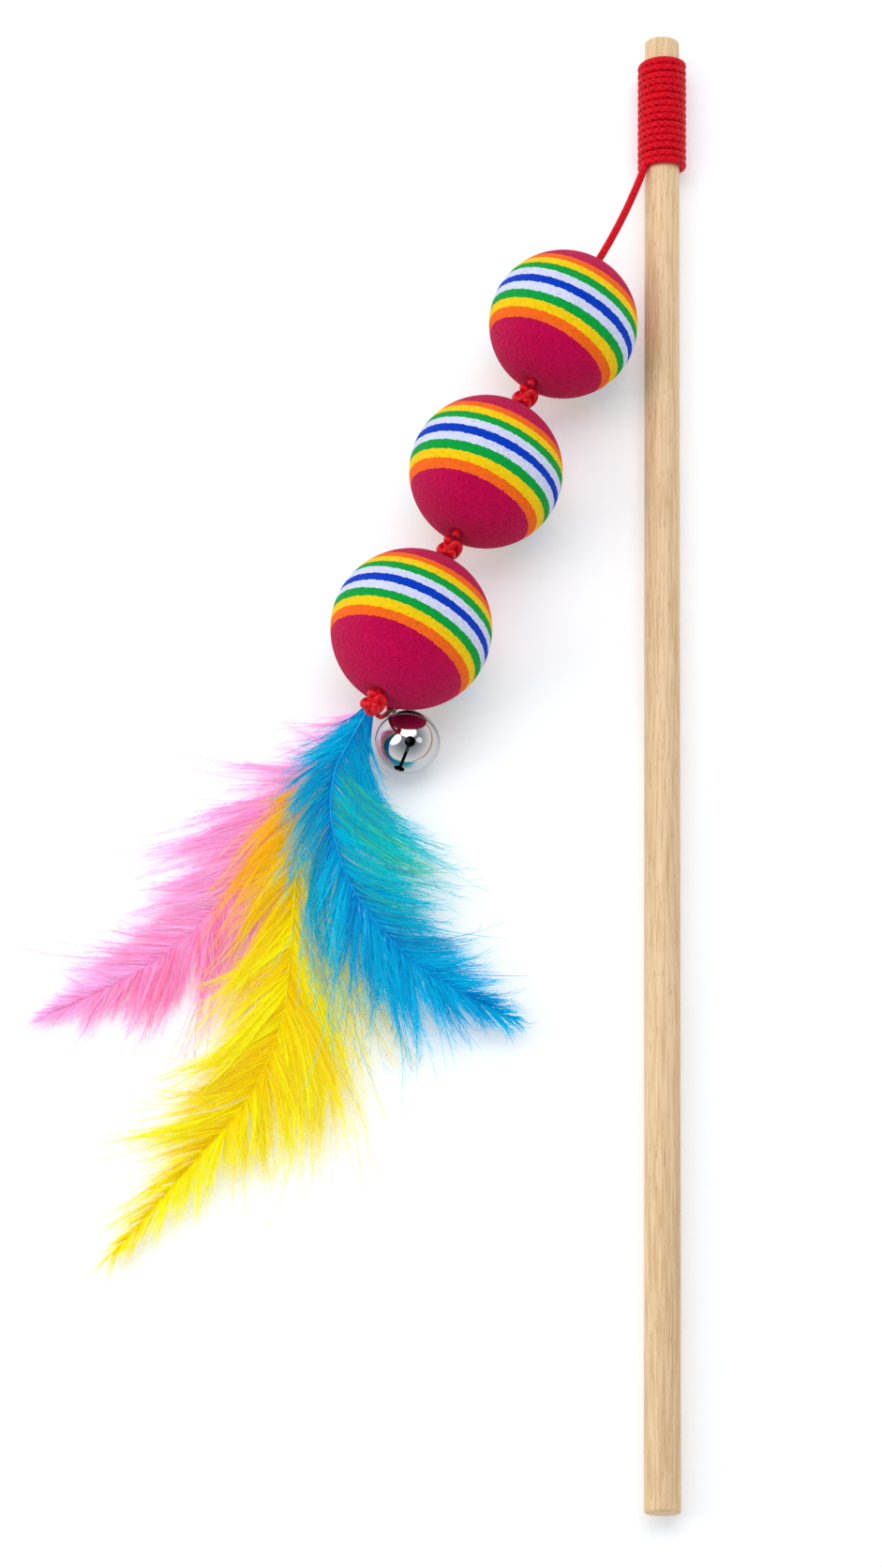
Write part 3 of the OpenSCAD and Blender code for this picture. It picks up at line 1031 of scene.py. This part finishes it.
@dataclass(frozen=True)
class Dye:
    """A feather's colours: its body, its deep shade, its pale ends and a tint on one vane.

    The fleck is the colour that some wisps have in place of the tint. Dark is the share of
    the deep shade in all barbs, and what comes on top of it at the quill's root, at a barb's
    start and, as less, at its end. Uneven is the spread of that share and of the brightness,
    and patchy the mean and the spread of the tint's. The reaches say how much of the tint a
    barb has at its start, and how much more at its end, on the tint's side and on the other.
    """

    body: Rgb
    deep: Rgb
    pale: Rgb
    tint: Rgb
    fleck: Rgb
    tint_side: Side
    tint_share: float
    tint_at: float
    tint_run: float
    dark: float = 0.22
    dark_root: float = 0.4
    dark_start: float = 0.3
    dark_end: float = 0.25
    pale_end: float = 0.5
    uneven: Pair = (0.14, 0.05)
    patchy: Pair = (0.7, 0.35)
    flecking: Pair = (7.0, 0.3)
    near_reach: Pair = (0.25, 1.3)
    far_reach: Pair = (-0.15, 0.75)


@dataclass(frozen=True)
class Vane:
    """How one vane grows.

    The widths are shares of the feather's length, from its root to its tip. The lean is the
    angle of a barb from the quill where it starts, and the bend is what it gains by its end.
    The root and the spread are further leans, of the first barbs and of those that follow.
    Stray is the most that a stray barb's length is multiplied by. The bundle is how far beside
    the quill the first barbs may start.
    """

    widths: tuple[float, ...]
    lean: float = 40.0
    bend: float = -8.0
    stray: float = 1.45
    root: float = 22.0
    bundle: float = 0.0
    spread: float = 0.0

    def width(self, u: Array) -> Array:
        """Returns the vane's width at places on the quill, as a share of its length."""
        return smooth_curve(np.array(self.widths), u * (len(self.widths) - 1))


@dataclass(frozen=True)
class Clumping:
    """How many clumps a vane has, and the spread of what the barbs of a clump have in common.

    Lean and bend are in degrees. The pull is the range of how far a clump draws its barbs
    together by their ends.
    """

    count: int
    lean: float
    bend: float
    lift: float
    shade: float
    pull: Pair


@dataclass(frozen=True)
class Clumps:
    """The clumps of one vane, with the number of the clump that each barb is in."""

    kind: Clumping
    rng: Chance
    of: Array

    @classmethod
    def among(cls, kind: Clumping, u: Array, rng: Chance) -> Clumps:
        """Shares out barbs in clumps of uneven size.

        Args:
            kind: How the barbs clump.
            u: Their places on the quill.
            rng: The seeded source of chance.

        Returns:
            The clumps.
        """
        chance, blur = 0.5, 0.15
        even = np.linspace(0, 1, kind.count + 1)[1:-1]
        edges = np.sort(rng.uniform(0, 1, len(even))) * chance + even * (1 - chance)
        near = u + rng.normal(0, blur / kind.count, len(u))
        return cls(kind, rng, np.searchsorted(edges, near))

    def bell(self, spread: float, mean: float = 0.0) -> Array:
        """Draws one bell-shaped chance for each clump and hands it to its barbs."""
        return self.rng.normal(mean, spread, self.kind.count)[self.of]

    def even(self, low: float, high: float) -> Array:
        """Draws one even chance for each clump and hands it to its barbs."""
        return self.rng.uniform(low, high, self.kind.count)[self.of]

    def drawn(self, lines: Array, size: Array, hold: Array) -> Array:
        """Draws the barbs of each clump together towards its ends, and keeps their lengths.

        Args:
            lines: The barbs' lines in plan.
            size: Their lengths.
            hold: How much of the pull each barb takes.

        Returns:
            The drawn lines.
        """
        fewest, power = 3, 1.5
        pull = self.rng.uniform(*self.kind.pull, self.kind.count)
        out = lines.copy()
        last = lines.shape[1] - 1
        v = np.linspace(0, 1, last + 1)
        for c in np.unique(self.of):
            mine = np.where(self.of == c)[0]
            if len(mine) < fewest:
                continue
            mean = lines[mine].mean(axis=0)
            at = size[mine, None] * v[None] / size[mine].mean() * last
            i = np.clip(at.astype(int), 0, last - 1)
            lead = mean[i] + (at - i)[..., None] * (mean[i + 1] - mean[i])
            way = (pull[c] * hold[mine, None] * v[None] ** power)[..., None]
            out[mine] = lines[mine] * (1 - way) + lead * way
        return out


@dataclass(frozen=True)
class Habit:
    """How unevenly the barbs of a vane grow.

    Angles are in degrees. A pair is the range of an even chance, or the mean and the spread
    of a bell-shaped one. The pairs of the tip, and of the thin part where barbs stand apart,
    are where it starts on the quill and how far it runs. Clear and half width, the least
    height over the table and a barb's thickness, are in millimetres.
    """

    barbs: int = 2700
    joints: int = 7
    locks: Clumping = Clumping(30, lean=3.6, bend=6, lift=0.4 * MM, shade=0.16, pull=(0.05, 0.4))
    wisps: Clumping = Clumping(240, lean=5, bend=7, lift=0.5 * MM, shade=0.2, pull=(0.45, 0.95))
    ends: Pair = (0.004, 0.994)
    stations: int = 400
    least_room: float = 0.12
    thin: Pair = (0.75, 0.25)
    thinned: float = 0.25
    follow: float = 0.8
    tip: Pair = (0.72, 0.28)
    tip_close: float = 0.62
    tip_power: float = 1.3
    tip_calm: float = 0.6
    tip_hold: float = 0.75
    root: float = 0.16
    spread_from: float = 0.1
    spread_to: float = 0.5
    bundle: float = 0.1
    lean: float = 2.5
    least_lean: float = 7.0
    most_lean: float = 75.0
    short_below: float = 0.36
    stray_above: float = 0.93
    long_share: float = 0.23
    short: Pair = (0.22, 0.7)
    full: Pair = (0.7, 1.04)
    stray_least: float = 0.95
    lock_size: Pair = (0.82, 1.1)
    wisp_size: Pair = (0.8, 1.06)
    long_least: float = 1.15
    room_end: float = 1.055
    room_power: int = 8
    curl: float = 3.5
    stray_curl: Pair = (4.0, 13.0)
    long_curl: Pair = (5.0, 7.0)
    stray_hold: float = 0.15
    sink: float = 0.1 * MM
    loft: float = 0.6 * MM
    loft_run: float = 0.9
    lift_start: float = 0.12 * MM
    lift_end: float = 0.3 * MM
    clear: Pair = (0.15, 0.6)
    half_width: Pair = (0.1, 0.19)
    taper: float = 0.8
    stray_width: float = 1.25
    roll: float = 0.5


@dataclass(frozen=True)
class Downs:
    """The fine side hairs of the barbs, with angles in degrees.

    A pair is the range of an even chance, or the mean and the spread of a bell-shaped one.
    The start is a place along a barb, and the size is a length in millimetres.
    """

    count: int = 5600
    start: Pair = (0.15, 0.97)
    turn: float = 26.0
    climb: Pair = (0.03, 0.1)
    size: Pair = (1.5, 5.5)
    bend: float = 0.16
    clear: float = 0.1 * MM
    half_width: float = 0.05 * MM
    taper: tuple[float, float, float] = (1.0, 0.8, 0.3)
    roll: float = 0.6
    dye_joint: int = 4

    def grow(self, barbs: Array, sizes: Array, rng: Chance) -> tuple[Array, Array]:
        """Grows the hairs.

        Args:
            barbs: The barbs' lines in space.
            sizes: The barbs' lengths.
            rng: The seeded source of chance.

        Returns:
            The hairs' lines, and the number of each hair's barb.
        """
        n = self.count
        pick = rng.choice(len(barbs), n, p=sizes / sizes.sum())
        at = rng.uniform(*self.start, n) * (barbs.shape[1] - 1)
        i = np.minimum(at.astype(int), barbs.shape[1] - 2)
        f = (at - i)[:, None]
        start = barbs[pick, i] * (1 - f) + barbs[pick, i + 1] * f
        way = units(barbs[pick, i + 1] - barbs[pick, i])
        turn = np.radians(rng.normal(0, self.turn, n))
        c, s = np.cos(turn), np.sin(turn)
        x = way[:, 0] * c - way[:, 1] * s
        y = way[:, 0] * s + way[:, 1] * c
        flat = np.stack([x, y, way[:, 2] + rng.normal(*self.climb, n)], axis=1)
        size = rng.uniform(*self.size, n)[:, None] * MM
        bend = np.stack([-y, x, 0 * turn], axis=1) * rng.normal(0, self.bend, n)[:, None]
        lines = np.stack([start, start + 0.5 * size * flat, start + size * (flat + bend)], axis=1)
        lines[..., 2] = np.maximum(lines[..., 2], TABLE_Z + self.clear)
        return lines, pick


@dataclass(frozen=True)
class Barbs:
    """The barbs of one vane: lines in plan, places on the quill and what each has of its own."""

    plan: Array
    u: Array
    size: Array
    lift: Array
    shade: Array
    stray: Array


@dataclass(frozen=True)
class Feather:
    """A soft feather: a quill with thousands of barbs that clump into wisps.

    The curve is the quill's way in plan, in shares of the length. The feather starts at the
    reach from the knot's middle, where it slopes down by the drop in degrees, and falls over
    the fall's run to its lay, the height over the table that its middle keeps from there.
    """

    name: str
    length: float
    curve: tuple[Pair, ...]
    lay: float
    reach: float
    drop: float
    left: Vane
    right: Vane
    dye: Dye
    quill_colour: Rgb
    seed: int
    fall_run: float = 30 * MM
    quill_r: float = 0.33 * MM
    quill_end: float = 0.97
    quill_steps: int = 70
    quill_taper: Pair = (0.86, 0.6)
    quill_lift: float = 0.3 * MM
    habit: Habit = Habit()
    downs: Downs = Downs()

    def fall(self, xy: Array) -> Array:
        """Finds how high the feather's middle lies over the table.

        Args:
            xy: Places in plan.

        Returns:
            The height at each.
        """
        knot = joint_spot("end_swing")
        r = np.linalg.norm(xy - knot[:2], axis=-1)
        tilt = math.radians(self.drop)
        start_r = self.reach * math.cos(tilt)
        start_z = knot[2] - TABLE_Z - self.reach * math.sin(tilt)
        left = np.clip(1 - (r - start_r) / self.fall_run, 0, 1)
        return self.lay + (start_z - self.lay) * left**3

    def along(self, u: Array) -> Array:
        """Follows the quill in plan.

        Args:
            u: Places on it, from 0 at the root to 1 at the tip.

        Returns:
            The places in plan.
        """
        shares = np.array(self.curve)
        start = self.reach * math.cos(math.radians(self.drop)) * unit(shares[1])
        way = self.length * smooth_curve(shares, u * (len(shares) - 1))
        return joint_spot("end_swing")[:2] + way + (1 - u)[:, None] * start

    def heading(self, u: Array) -> Array:
        """Returns the quill's direction in plan."""
        near = 0.01
        return units(self.along(np.minimum(u + near, 1)) - self.along(np.maximum(u - near, 0)))

    def full_size(self, u: Array, angle: Array, vane: Vane) -> Array:
        """Returns how long each barb is if it ends on the vane's outline.

        Args:
            u: The barbs' places on the quill.
            angle: Their mean angles from it.
            vane: The vane, with its widths.

        Returns:
            The lengths in metres.
        """
        longest, shortest, past_tip, halvings = 0.45 * self.length, 1.5 * MM, 0.05, 22
        low, high = np.zeros(len(u)), np.full(len(u), longest)
        for _ in range(halvings):
            mid = (low + high) / 2
            end = u + mid * np.cos(angle) / self.length
            width = self.length * vane.width(np.minimum(end, 1))
            width *= np.clip((1 + past_tip - end) / past_tip, 0, 1)
            over = mid * np.sin(angle) > width
            high = np.where(over, mid, high)
            low = np.where(over, low, mid)
        return np.maximum(high, shortest)

    def places(self, vane: Vane, rng: Chance) -> Array:
        """Sets the barbs on the quill, closer together where the vane is wide.

        Args:
            vane: The vane.
            rng: The seeded source of chance.

        Returns:
            Their places, from 0 at the root to 1 at the tip.
        """
        h = self.habit
        run = np.linspace(*h.ends, h.stations)
        room = h.least_room + vane.width(run) / max(vane.widths)
        room *= 1 - h.thinned * rise(run, *h.thin)
        chance = rng.random(h.barbs)
        return np.sort(np.interp(chance, np.cumsum(room) / room.sum(), run))

    def sizes(
        self, u: Array, lean: Array, vane: Vane, locks: Clumps, wisps: Clumps
    ) -> tuple[Array, Array, Array]:
        """Gives each barb its length.

        Args:
            u: The barbs' places on the quill.
            lean: Their mean angles from it, in degrees.
            vane: The vane.
            locks: Its locks.
            wisps: Its wisps.

        Returns:
            The lengths, which barbs stray and which are in a long wisp.
        """
        h, n, rng = self.habit, len(u), locks.rng
        size = self.full_size(u, np.radians(np.maximum(lean, h.least_lean)), vane)
        kind = rng.random(n)
        part = np.where(kind < h.short_below, rng.uniform(*h.short, n), rng.uniform(*h.full, n))
        stray = kind > h.stray_above
        part[stray] = rng.uniform(h.stray_least, vane.stray, int(stray.sum()))
        long = wisps.even(0, 1) < h.long_share
        size = size * part * locks.even(*h.lock_size)
        size *= np.where(long, wisps.even(h.long_least, vane.stray), wisps.even(*h.wisp_size))
        ahead = np.cos(np.radians(np.clip(lean, 0, h.most_lean)))
        room = (h.room_end - u) * self.length / ahead
        return size / (1 + (size / room) ** h.room_power) ** (1 / h.room_power), stray, long

    def grow(self, side: Side, vane: Vane, rng: Chance) -> Barbs:
        """Grows the barbs of one vane in plan.

        Args:
            side: Which vane.
            vane: How it grows.
            rng: The seeded source of chance.

        Returns:
            The barbs.
        """
        h = self.habit
        u = self.places(vane, rng)
        locks, wisps = (Clumps.among(kind, u, rng) for kind in (h.locks, h.wisps))
        near_tip = rise(u, *h.tip)
        calm = 1 - h.tip_calm * near_tip
        lean = vane.lean * (1 - h.tip_close * near_tip**h.tip_power)
        lean += vane.root * (1 - rise(u, 0, h.root))
        lean += vane.spread * rise(u, 0, h.spread_from) * (1 - rise(u, 0, h.spread_to))
        lean += locks.bell(h.locks.lean) * calm
        lean += wisps.bell(h.wisps.lean) * calm
        lean += rng.normal(0, h.lean, len(u))
        bend = vane.bend + locks.bell(h.locks.bend) + wisps.bell(h.wisps.bend)
        size, stray, long = self.sizes(u, lean + 0.5 * bend, vane, locks, wisps)
        curl = rng.normal(0, h.curl, len(u)) + stray * rng.normal(*h.stray_curl, len(u))
        curl += long * wisps.bell(h.long_curl[1], h.long_curl[0])
        held = rng.uniform(0, 1, len(u)) * (1 - rise(u, 0, h.bundle)) * vane.bundle
        lines = [self.along(u) + held[:, None] * side.out(self.heading(u))]
        part = size / h.joints
        passed = u
        for k in range(h.joints):
            v = (k + 0.5) / h.joints
            a = np.radians(lean + bend * v + curl * v * v)
            ahead = self.heading(np.minimum(passed, 1))
            step = np.cos(a)[:, None] * ahead + np.sin(a)[:, None] * side.out(ahead)
            lines.append(lines[-1] + part[:, None] * step)
            passed = passed + h.follow * size / h.joints * np.cos(a) / self.length
        plan = np.stack(lines, axis=1)
        hold = np.where(stray, h.stray_hold, 1.0) * (1 - h.tip_hold * near_tip)
        plan = locks.drawn(wisps.drawn(plan, size, hold), size, hold)
        lift = wisps.bell(h.wisps.lift) + locks.bell(h.locks.lift)
        shades = wisps.bell(h.wisps.shade) + locks.bell(h.locks.shade)
        return Barbs(plan, u, size, lift, shades, stray)

    def raised(self, plan: Array, lift: Array, rng: Chance) -> Array:
        """Lifts lines in plan to the feather's own height, with some loft.

        Args:
            plan: Lines in plan.
            lift: How far each line rises or sinks by its end.
            rng: The seeded source of chance.

        Returns:
            The lines in space, none of them below the table.
        """
        h = self.habit
        n, m, _ = plan.shape
        v = np.linspace(0, 1, m)[None]
        tall = self.fall(plan) - h.sink
        tall += lift[:, None] * v + rng.normal(0, h.lift_end, (n, 1)) * v
        tall += rng.normal(0, h.lift_start, (n, 1)) + h.loft * np.sin(math.pi * v * h.loft_run)
        tall = np.maximum(tall, rng.uniform(*h.clear, (n, 1)) * MM)
        return np.concatenate([plan, (TABLE_Z + tall)[..., None]], axis=2)

    def dyes(self, side: Side, grown: Barbs, rng: Chance) -> Array:
        """Dyes the barbs of one vane.

        Args:
            side: Which vane.
            grown: Its barbs.
            rng: The seeded source of chance.

        Returns:
            The colour of each barb at each of its points.
        """
        d, u = self.dye, grown.u
        body, deep, pale, tint, fleck = map(np.array, (d.body, d.deep, d.pale, d.tint, d.fleck))
        gain, less = d.flecking
        flecked = np.clip(gain * grown.shade - less, 0, 1)[:, None, None]
        tint = tint * (1 - flecked) + fleck * flecked
        v = np.linspace(0, 1, self.habit.joints + 1)[None, :, None]
        dark = d.dark + d.dark_root * (1 - u) + grown.shade + rng.normal(0, d.uneven[0], len(u))
        dark = np.clip(dark[:, None, None] + d.dark_start * (1 - v) - d.dark_end * v, 0, 1)
        out = body * (1 - dark) + deep * dark
        ends = d.pale_end * v**2
        out = out * (1 - ends) + pale * ends
        mid = np.exp(-(((u - d.tint_at) / d.tint_run) ** 2))[:, None, None]
        start, more = d.near_reach if side is d.tint_side else d.far_reach
        share = d.tint_share * mid * np.clip(start + v * more, 0, 1)
        share = share * np.clip(rng.normal(*d.patchy, (len(u), 1, 1)), 0, 1)
        out = out * (1 - share) + tint * share
        return np.clip(out * rng.normal(1, d.uneven[1], (len(u), 1, 1)), 0, 1)

    def build_vane(self, side: Side, vane: Vane, material: Material) -> None:
        """Makes one vane as a piece.

        Args:
            side: Which vane.
            vane: How it grows.
            material: The barbs' material.
        """
        h, d = self.habit, self.downs
        rng = np.random.default_rng(self.seed * 10 + side.value)
        grown = self.grow(side, vane, rng)
        barbs = self.raised(grown.plan, grown.lift, rng)
        n = len(barbs)
        v = np.linspace(0, 1, barbs.shape[1])[None]
        thick = rng.uniform(*h.half_width, (n, 1)) * MM * (1 - h.taper * v)
        thick *= np.where(grown.stray, h.stray_width, 1.0)[:, None]
        points, faces = strands(barbs, thick, rng.normal(0, h.roll, n))
        colours = self.dyes(side, grown, rng)
        dye = np.concatenate([np.repeat(colours[:, :-1], 3, axis=1), colours[:, -1:]], axis=1)
        hairs, pick = d.grow(barbs, grown.size, rng)
        fine = np.full((d.count, 3), d.half_width) * np.array(d.taper)
        more, more_faces = strands(hairs, fine, rng.normal(0, d.roll, d.count))
        down_dye = np.repeat(colours[pick, d.dye_joint], len(more) // d.count, axis=0)
        faces += [f + len(points) for f in more_faces]
        name = f"{self.name}_{side.name.lower()}_vane"
        piece = add_piece(name, np.concatenate([points, more]), faces, smooth=False)
        rgb = np.concatenate([dye.reshape(-1, 3), down_dye])
        rgba = np.concatenate([rgb, np.ones((len(rgb), 1))], axis=1)
        layer = piece.data.color_attributes.new("dye", "FLOAT_COLOR", "POINT")
        layer.data.foreach_set("color", rgba.astype(np.float32).ravel())
        settle(piece, material, self.name, self.name, self.name)

    def build_quill(self) -> None:
        """Makes the quill as a tapering rod."""
        u = np.linspace(0, self.quill_end, self.quill_steps)
        plan = self.along(u)
        tall = TABLE_Z + self.fall(plan) + self.quill_lift
        line = np.concatenate([plan, tall[:, None]], axis=1)
        rings = Tube(line, UP, across=1.0, deep=1.0, sides=10).rings()
        loss, power = self.quill_taper
        r = self.quill_r * (1 - loss * u**power)
        rings = line[:, None] + r[:, None, None] * (rings - line[:, None])
        n, m = rings.shape[:2]
        quads = np.roll(grid_faces(n, m)[:, ::-1], 1, axis=1)
        around = np.arange(m - 1)
        ends = [around[None], (around[::-1] + (n - 1) * m)[None]]
        piece = add_piece(f"{self.name}_quill", rings.reshape(-1, 3), [quads, *ends])
        material = QuillFinish(f"{self.name}_quill_horn", self.quill_colour).material()
        settle(piece, material, self.name, self.name)

    def build(self) -> None:
        """Makes the feather."""
        material = BarbFinish(f"{self.name}_barbs").material()
        self.build_vane(Side.LEFT, self.left, material)
        self.build_vane(Side.RIGHT, self.right, material)
        self.build_quill()


@dataclass(frozen=True)
class Softbox:
    """A lamp with an oval face, its width and height in metres, that looks at the toy."""

    name: str
    place: Spot
    size: Pair
    glow: float
    aim: Spot = (-0.06, 0.2, 0.0)

    def build(self) -> None:
        """Makes the lamp."""
        data = bpy.data.lights.new(self.name, "AREA")
        data.shape = "ELLIPSE"
        data.size, data.size_y = self.size
        data.energy = self.glow * math.pi * self.size[0] * self.size[1]
        lamp = bpy.data.objects.new(self.name, data)
        lamp.location = Vector(self.place)
        way = Vector(self.aim) - lamp.location
        lamp.rotation_euler = way.to_track_quat("-Z", "Y").to_euler()
        bpy.context.scene.collection.objects.link(lamp)
        LOG.info("%s is lit", self.name)


@dataclass(frozen=True)
class Studio:
    """A pale floor, soft lights and the camera of the photograph, its angles in degrees."""

    image_w_px: float = 941.0
    focal_px: float = 5367.5
    pitch: float = 15.835
    yaw: float = 0.374
    roll: float = 0.302
    eye: Spot = (-56.23 * MM, -171.41 * MM, 1282.41 * MM)
    sensor: float = 36.0
    floor_half: float = 8.0
    floor_gap: float = 0.02 * MM
    floor_glow: float = 0.22
    zenith: Rgb = (0.27, 0.3, 0.34)
    zenith_at: float = 0.78
    air_glow: float = 1.12
    lamps: tuple[Softbox, ...] = (
        Softbox("top_softbox", (-0.02, 0.78, 1.5), (1.75, 1.15), 2.2),
        Softbox("side_softbox", (-1.2, 0.2, 1.0), (1.1, 1.5), 1.65),
        Softbox("fill_card", (0.99, 0.06, 1.12), (0.5, 0.6), 0.7),
    )

    def camera(self) -> None:
        """Makes the camera."""
        data = bpy.data.cameras.new("photo_camera")
        data.sensor_fit = "HORIZONTAL"
        data.sensor_width = self.sensor
        data.lens = self.focal_px / self.image_w_px * self.sensor
        data.clip_start = 0.01
        data.clip_end = 20.0
        pitch, yaw, roll = (math.radians(a) for a in (self.pitch, self.yaw, self.roll))
        turn = Matrix.Rotation(yaw, 3, "Z")
        ahead = turn @ Vector((0, math.sin(pitch), -math.cos(pitch)))
        up = turn @ Vector((0, math.cos(pitch), math.sin(pitch)))
        right = turn @ Vector((1, 0, 0))
        level_right = math.cos(roll) * right + math.sin(roll) * up
        level_up = -math.sin(roll) * right + math.cos(roll) * up
        camera = bpy.data.objects.new("photo_camera", data)
        camera.matrix_world = Matrix.Translation(self.eye) @ Matrix(
            (level_right, level_up, -ahead)
        ).transposed().to_4x4()
        bpy.context.scene.collection.objects.link(camera)
        bpy.context.scene.camera = camera

    def floor(self) -> None:
        """Makes the floor."""
        half, z = self.floor_half, TABLE_Z - self.floor_gap
        points = np.array([[-half, -half, z], [half, -half, z], [half, half, z], [-half, half, z]])
        floor = add_piece("studio_floor", points, [np.array([[0, 1, 2, 3]])], smooth=False)
        g = Graph("white_paper")
        tooth = g.noise(g.place(), scale=500.0, detail=2.0)
        colour = g.ramp(tooth, [(0.3, (0.8, 0.8, 0.8)), (0.7, (0.83, 0.83, 0.83))])
        inputs = {
            "Specular IOR Level": 0.1,
            "Emission Color": (0.93, 1.0, 1.06, 1.0),
            "Emission Strength": self.floor_glow,
        }
        dress(floor, g.finish(g.surface(colour, roughness=0.9, more=inputs)))

    def air(self) -> None:
        """Makes the dim light of the room, brighter towards the horizon."""
        g = Graph("studio_air", world=True)
        parts = g.add("SeparateXYZ", {0: g.add("TexCoord").outputs["Generated"]})
        colour = g.ramp(parts.outputs["Z"], [(0.0, WHITE), (self.zenith_at, self.zenith)])
        light = g.add("Background", {"Color": colour, "Strength": self.air_glow})
        bpy.context.scene.world = g.finish(light.outputs[0])

    def build(self) -> None:
        """Makes the studio."""
        bpy.context.scene.view_settings.view_transform = "Standard"
        self.camera()
        self.floor()
        for lamp in self.lamps:
            lamp.build()
        self.air()


def feathers() -> list[Feather]:
    """Describes the three feathers.

    Returns:
        The feathers, from the one on top to the lowest.
    """
    blue = Feather(
        name="feather_blue",
        length=100 * MM,
        curve=(
            (0, 0), (-0.055, -0.065), (-0.092, -0.13), (-0.102, -0.25), (-0.06, -0.41),
            (0.02, -0.54), (0.12, -0.645), (0.24, -0.725), (0.38, -0.8),
        ),
        lay=7 * MM,
        reach=2.0 * MM,
        drop=10,
        left=Vane(
            widths=(0.05, 0.075, 0.08, 0.09, 0.11, 0.15, 0.19, 0.13, 0.03),
            lean=36,
            bend=2,
            stray=1.6,
            root=-4,
            bundle=1.6 * MM,
        ),
        right=Vane(
            widths=(0.06, 0.155, 0.215, 0.24, 0.22, 0.18, 0.135, 0.09, 0.03),
            lean=34,
            bend=4,
            stray=1.42,
            root=-6,
            bundle=2.2 * MM,
            spread=37,
        ),
        dye=Dye(
            body=(0.0, 0.68, 0.9),
            deep=(0.0, 0.3, 0.72),
            pale=(0.02, 0.86, 0.94),
            tint=(0.0, 0.88, 0.76),
            fleck=(0.2, 0.9, 0.16),
            tint_side=Side.RIGHT,
            tint_share=0.75,
            tint_at=0.34,
            tint_run=0.22,
        ),
        quill_colour=(0.005, 0.42, 0.8),
        seed=3,
    )
    yellow = Feather(
        name="feather_yellow",
        length=160 * MM,
        curve=(
            (0, 0), (-0.055, -0.07), (-0.1, -0.15), (-0.12, -0.26), (-0.13, -0.41),
            (-0.145, -0.52), (-0.2, -0.64), (-0.29, -0.75), (-0.41, -0.895),
        ),
        lay=4.4 * MM,
        reach=2.6 * MM,
        drop=45,
        left=Vane(
            widths=(0.01, 0.04, 0.07, 0.096, 0.112, 0.12, 0.105, 0.07, 0.025),
            lean=38,
            bend=-4,
            stray=1.45,
        ),
        right=Vane(
            widths=(0.0, 0.01, 0.06, 0.12, 0.148, 0.152, 0.122, 0.08, 0.03),
            lean=34,
            bend=0,
            stray=1.28,
            root=0,
        ),
        dye=Dye(
            body=(0.98, 0.94, 0.0),
            deep=(0.93, 0.72, 0.0),
            pale=(1.0, 1.0, 0.12),
            tint=(1.0, 0.5, 0.02),
            fleck=(1.0, 0.62, 0.0),
            tint_side=Side.LEFT,
            tint_share=0.8,
            tint_at=0.2,
            tint_run=0.14,
        ),
        quill_colour=(1.0, 0.86, 0.03),
        seed=5,
    )
    pink = Feather(
        name="feather_pink",
        length=120 * MM,
        curve=(
            (0, 0), (-0.09, -0.1), (-0.18, -0.2), (-0.26, -0.3), (-0.34, -0.41),
            (-0.44, -0.51), (-0.53, -0.57), (-0.63, -0.625), (-0.72, -0.665),
        ),
        lay=2 * MM,
        reach=2.9 * MM,
        drop=80,
        left=Vane(
            widths=(0.07, 0.115, 0.135, 0.135, 0.12, 0.1, 0.075, 0.045, 0.015),
            lean=35,
            bend=4,
            stray=1.58,
            root=34,
        ),
        right=Vane(
            widths=(0.0, 0.02, 0.11, 0.17, 0.18, 0.16, 0.1, 0.055, 0.015),
            lean=36,
            bend=0,
            stray=1.5,
            root=0,
        ),
        dye=Dye(
            body=(1.0, 0.72, 0.96),
            deep=(1.0, 0.4, 0.74),
            pale=(1.0, 0.92, 1.0),
            tint=(1.0, 0.2, 0.54),
            fleck=(1.0, 0.14, 0.38),
            tint_side=Side.RIGHT,
            tint_share=0.62,
            tint_at=0.58,
            tint_run=0.24,
        ),
        quill_colour=(1.0, 0.36, 0.7),
        seed=7,
    )
    return [blue, yellow, pink]


def main() -> None:
    """Builds the studio and every sub-assembly."""
    logging.basicConfig(level=logging.INFO, format="%(message)s")
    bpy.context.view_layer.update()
    Studio().build()
    Stick().build()
    Winding(CordFinish("waxed_cord").material()).build()
    Lead(CordFinish("waxed_lead").material()).build()
    knot_cord = CordFinish(
        "knotted_cord",
        colour=(0.68, 0.0004, 0.011),
        roughness=0.36,
        gloss=0.15,
        depth=0.08 * MM,
        coat=0.12,
        # The knots' braid is painted more faintly into the colour, as highlight and shade.
        marks=0.14,
    ).material()
    foams = {foam: FoamFinish(foam.slot, foam.colour) for foam in Foam}
    caps = Foam.CAPS
    # The caps get a stronger mottle, partly painted glint and shade.
    foams[caps] = FoamFinish(caps.slot, caps.colour, mottle_and_glint=0.09, relief=1.1 * MM, rim=0.2)
    materials = {foam: finish.material() for foam, finish in foams.items()}
    balls = ((20 * MM, -0.4 * MM), (20.5 * MM, -0.8 * MM), (21.4 * MM, 0.7 * MM))
    for number, (radius, off) in enumerate(balls, 1):
        StripedBall(number, radius, off, materials).build()
        BallCord(number, radius, knot_cord).build()
    for number in (1, 2):
        name = f"knot_{number}"
        link = unit(joint_spot(f"ball_{number + 1}_spin") - joint_spot(f"ball_{number}_spin"))
        Knot(name, name, joint_spot(f"{name}_swing"), link, knot_cord).build()
    last_spot, last_link = joint_spot("end_swing"), joint_axis("ball_3_spin")
    Knot("end_knot", "end_knot", last_spot, last_link, knot_cord).build()
    BellTie(knot_cord).build()
    Bell().build()
    for feather in feathers():
        feather.build()


if __name__ == "__main__":
    main()
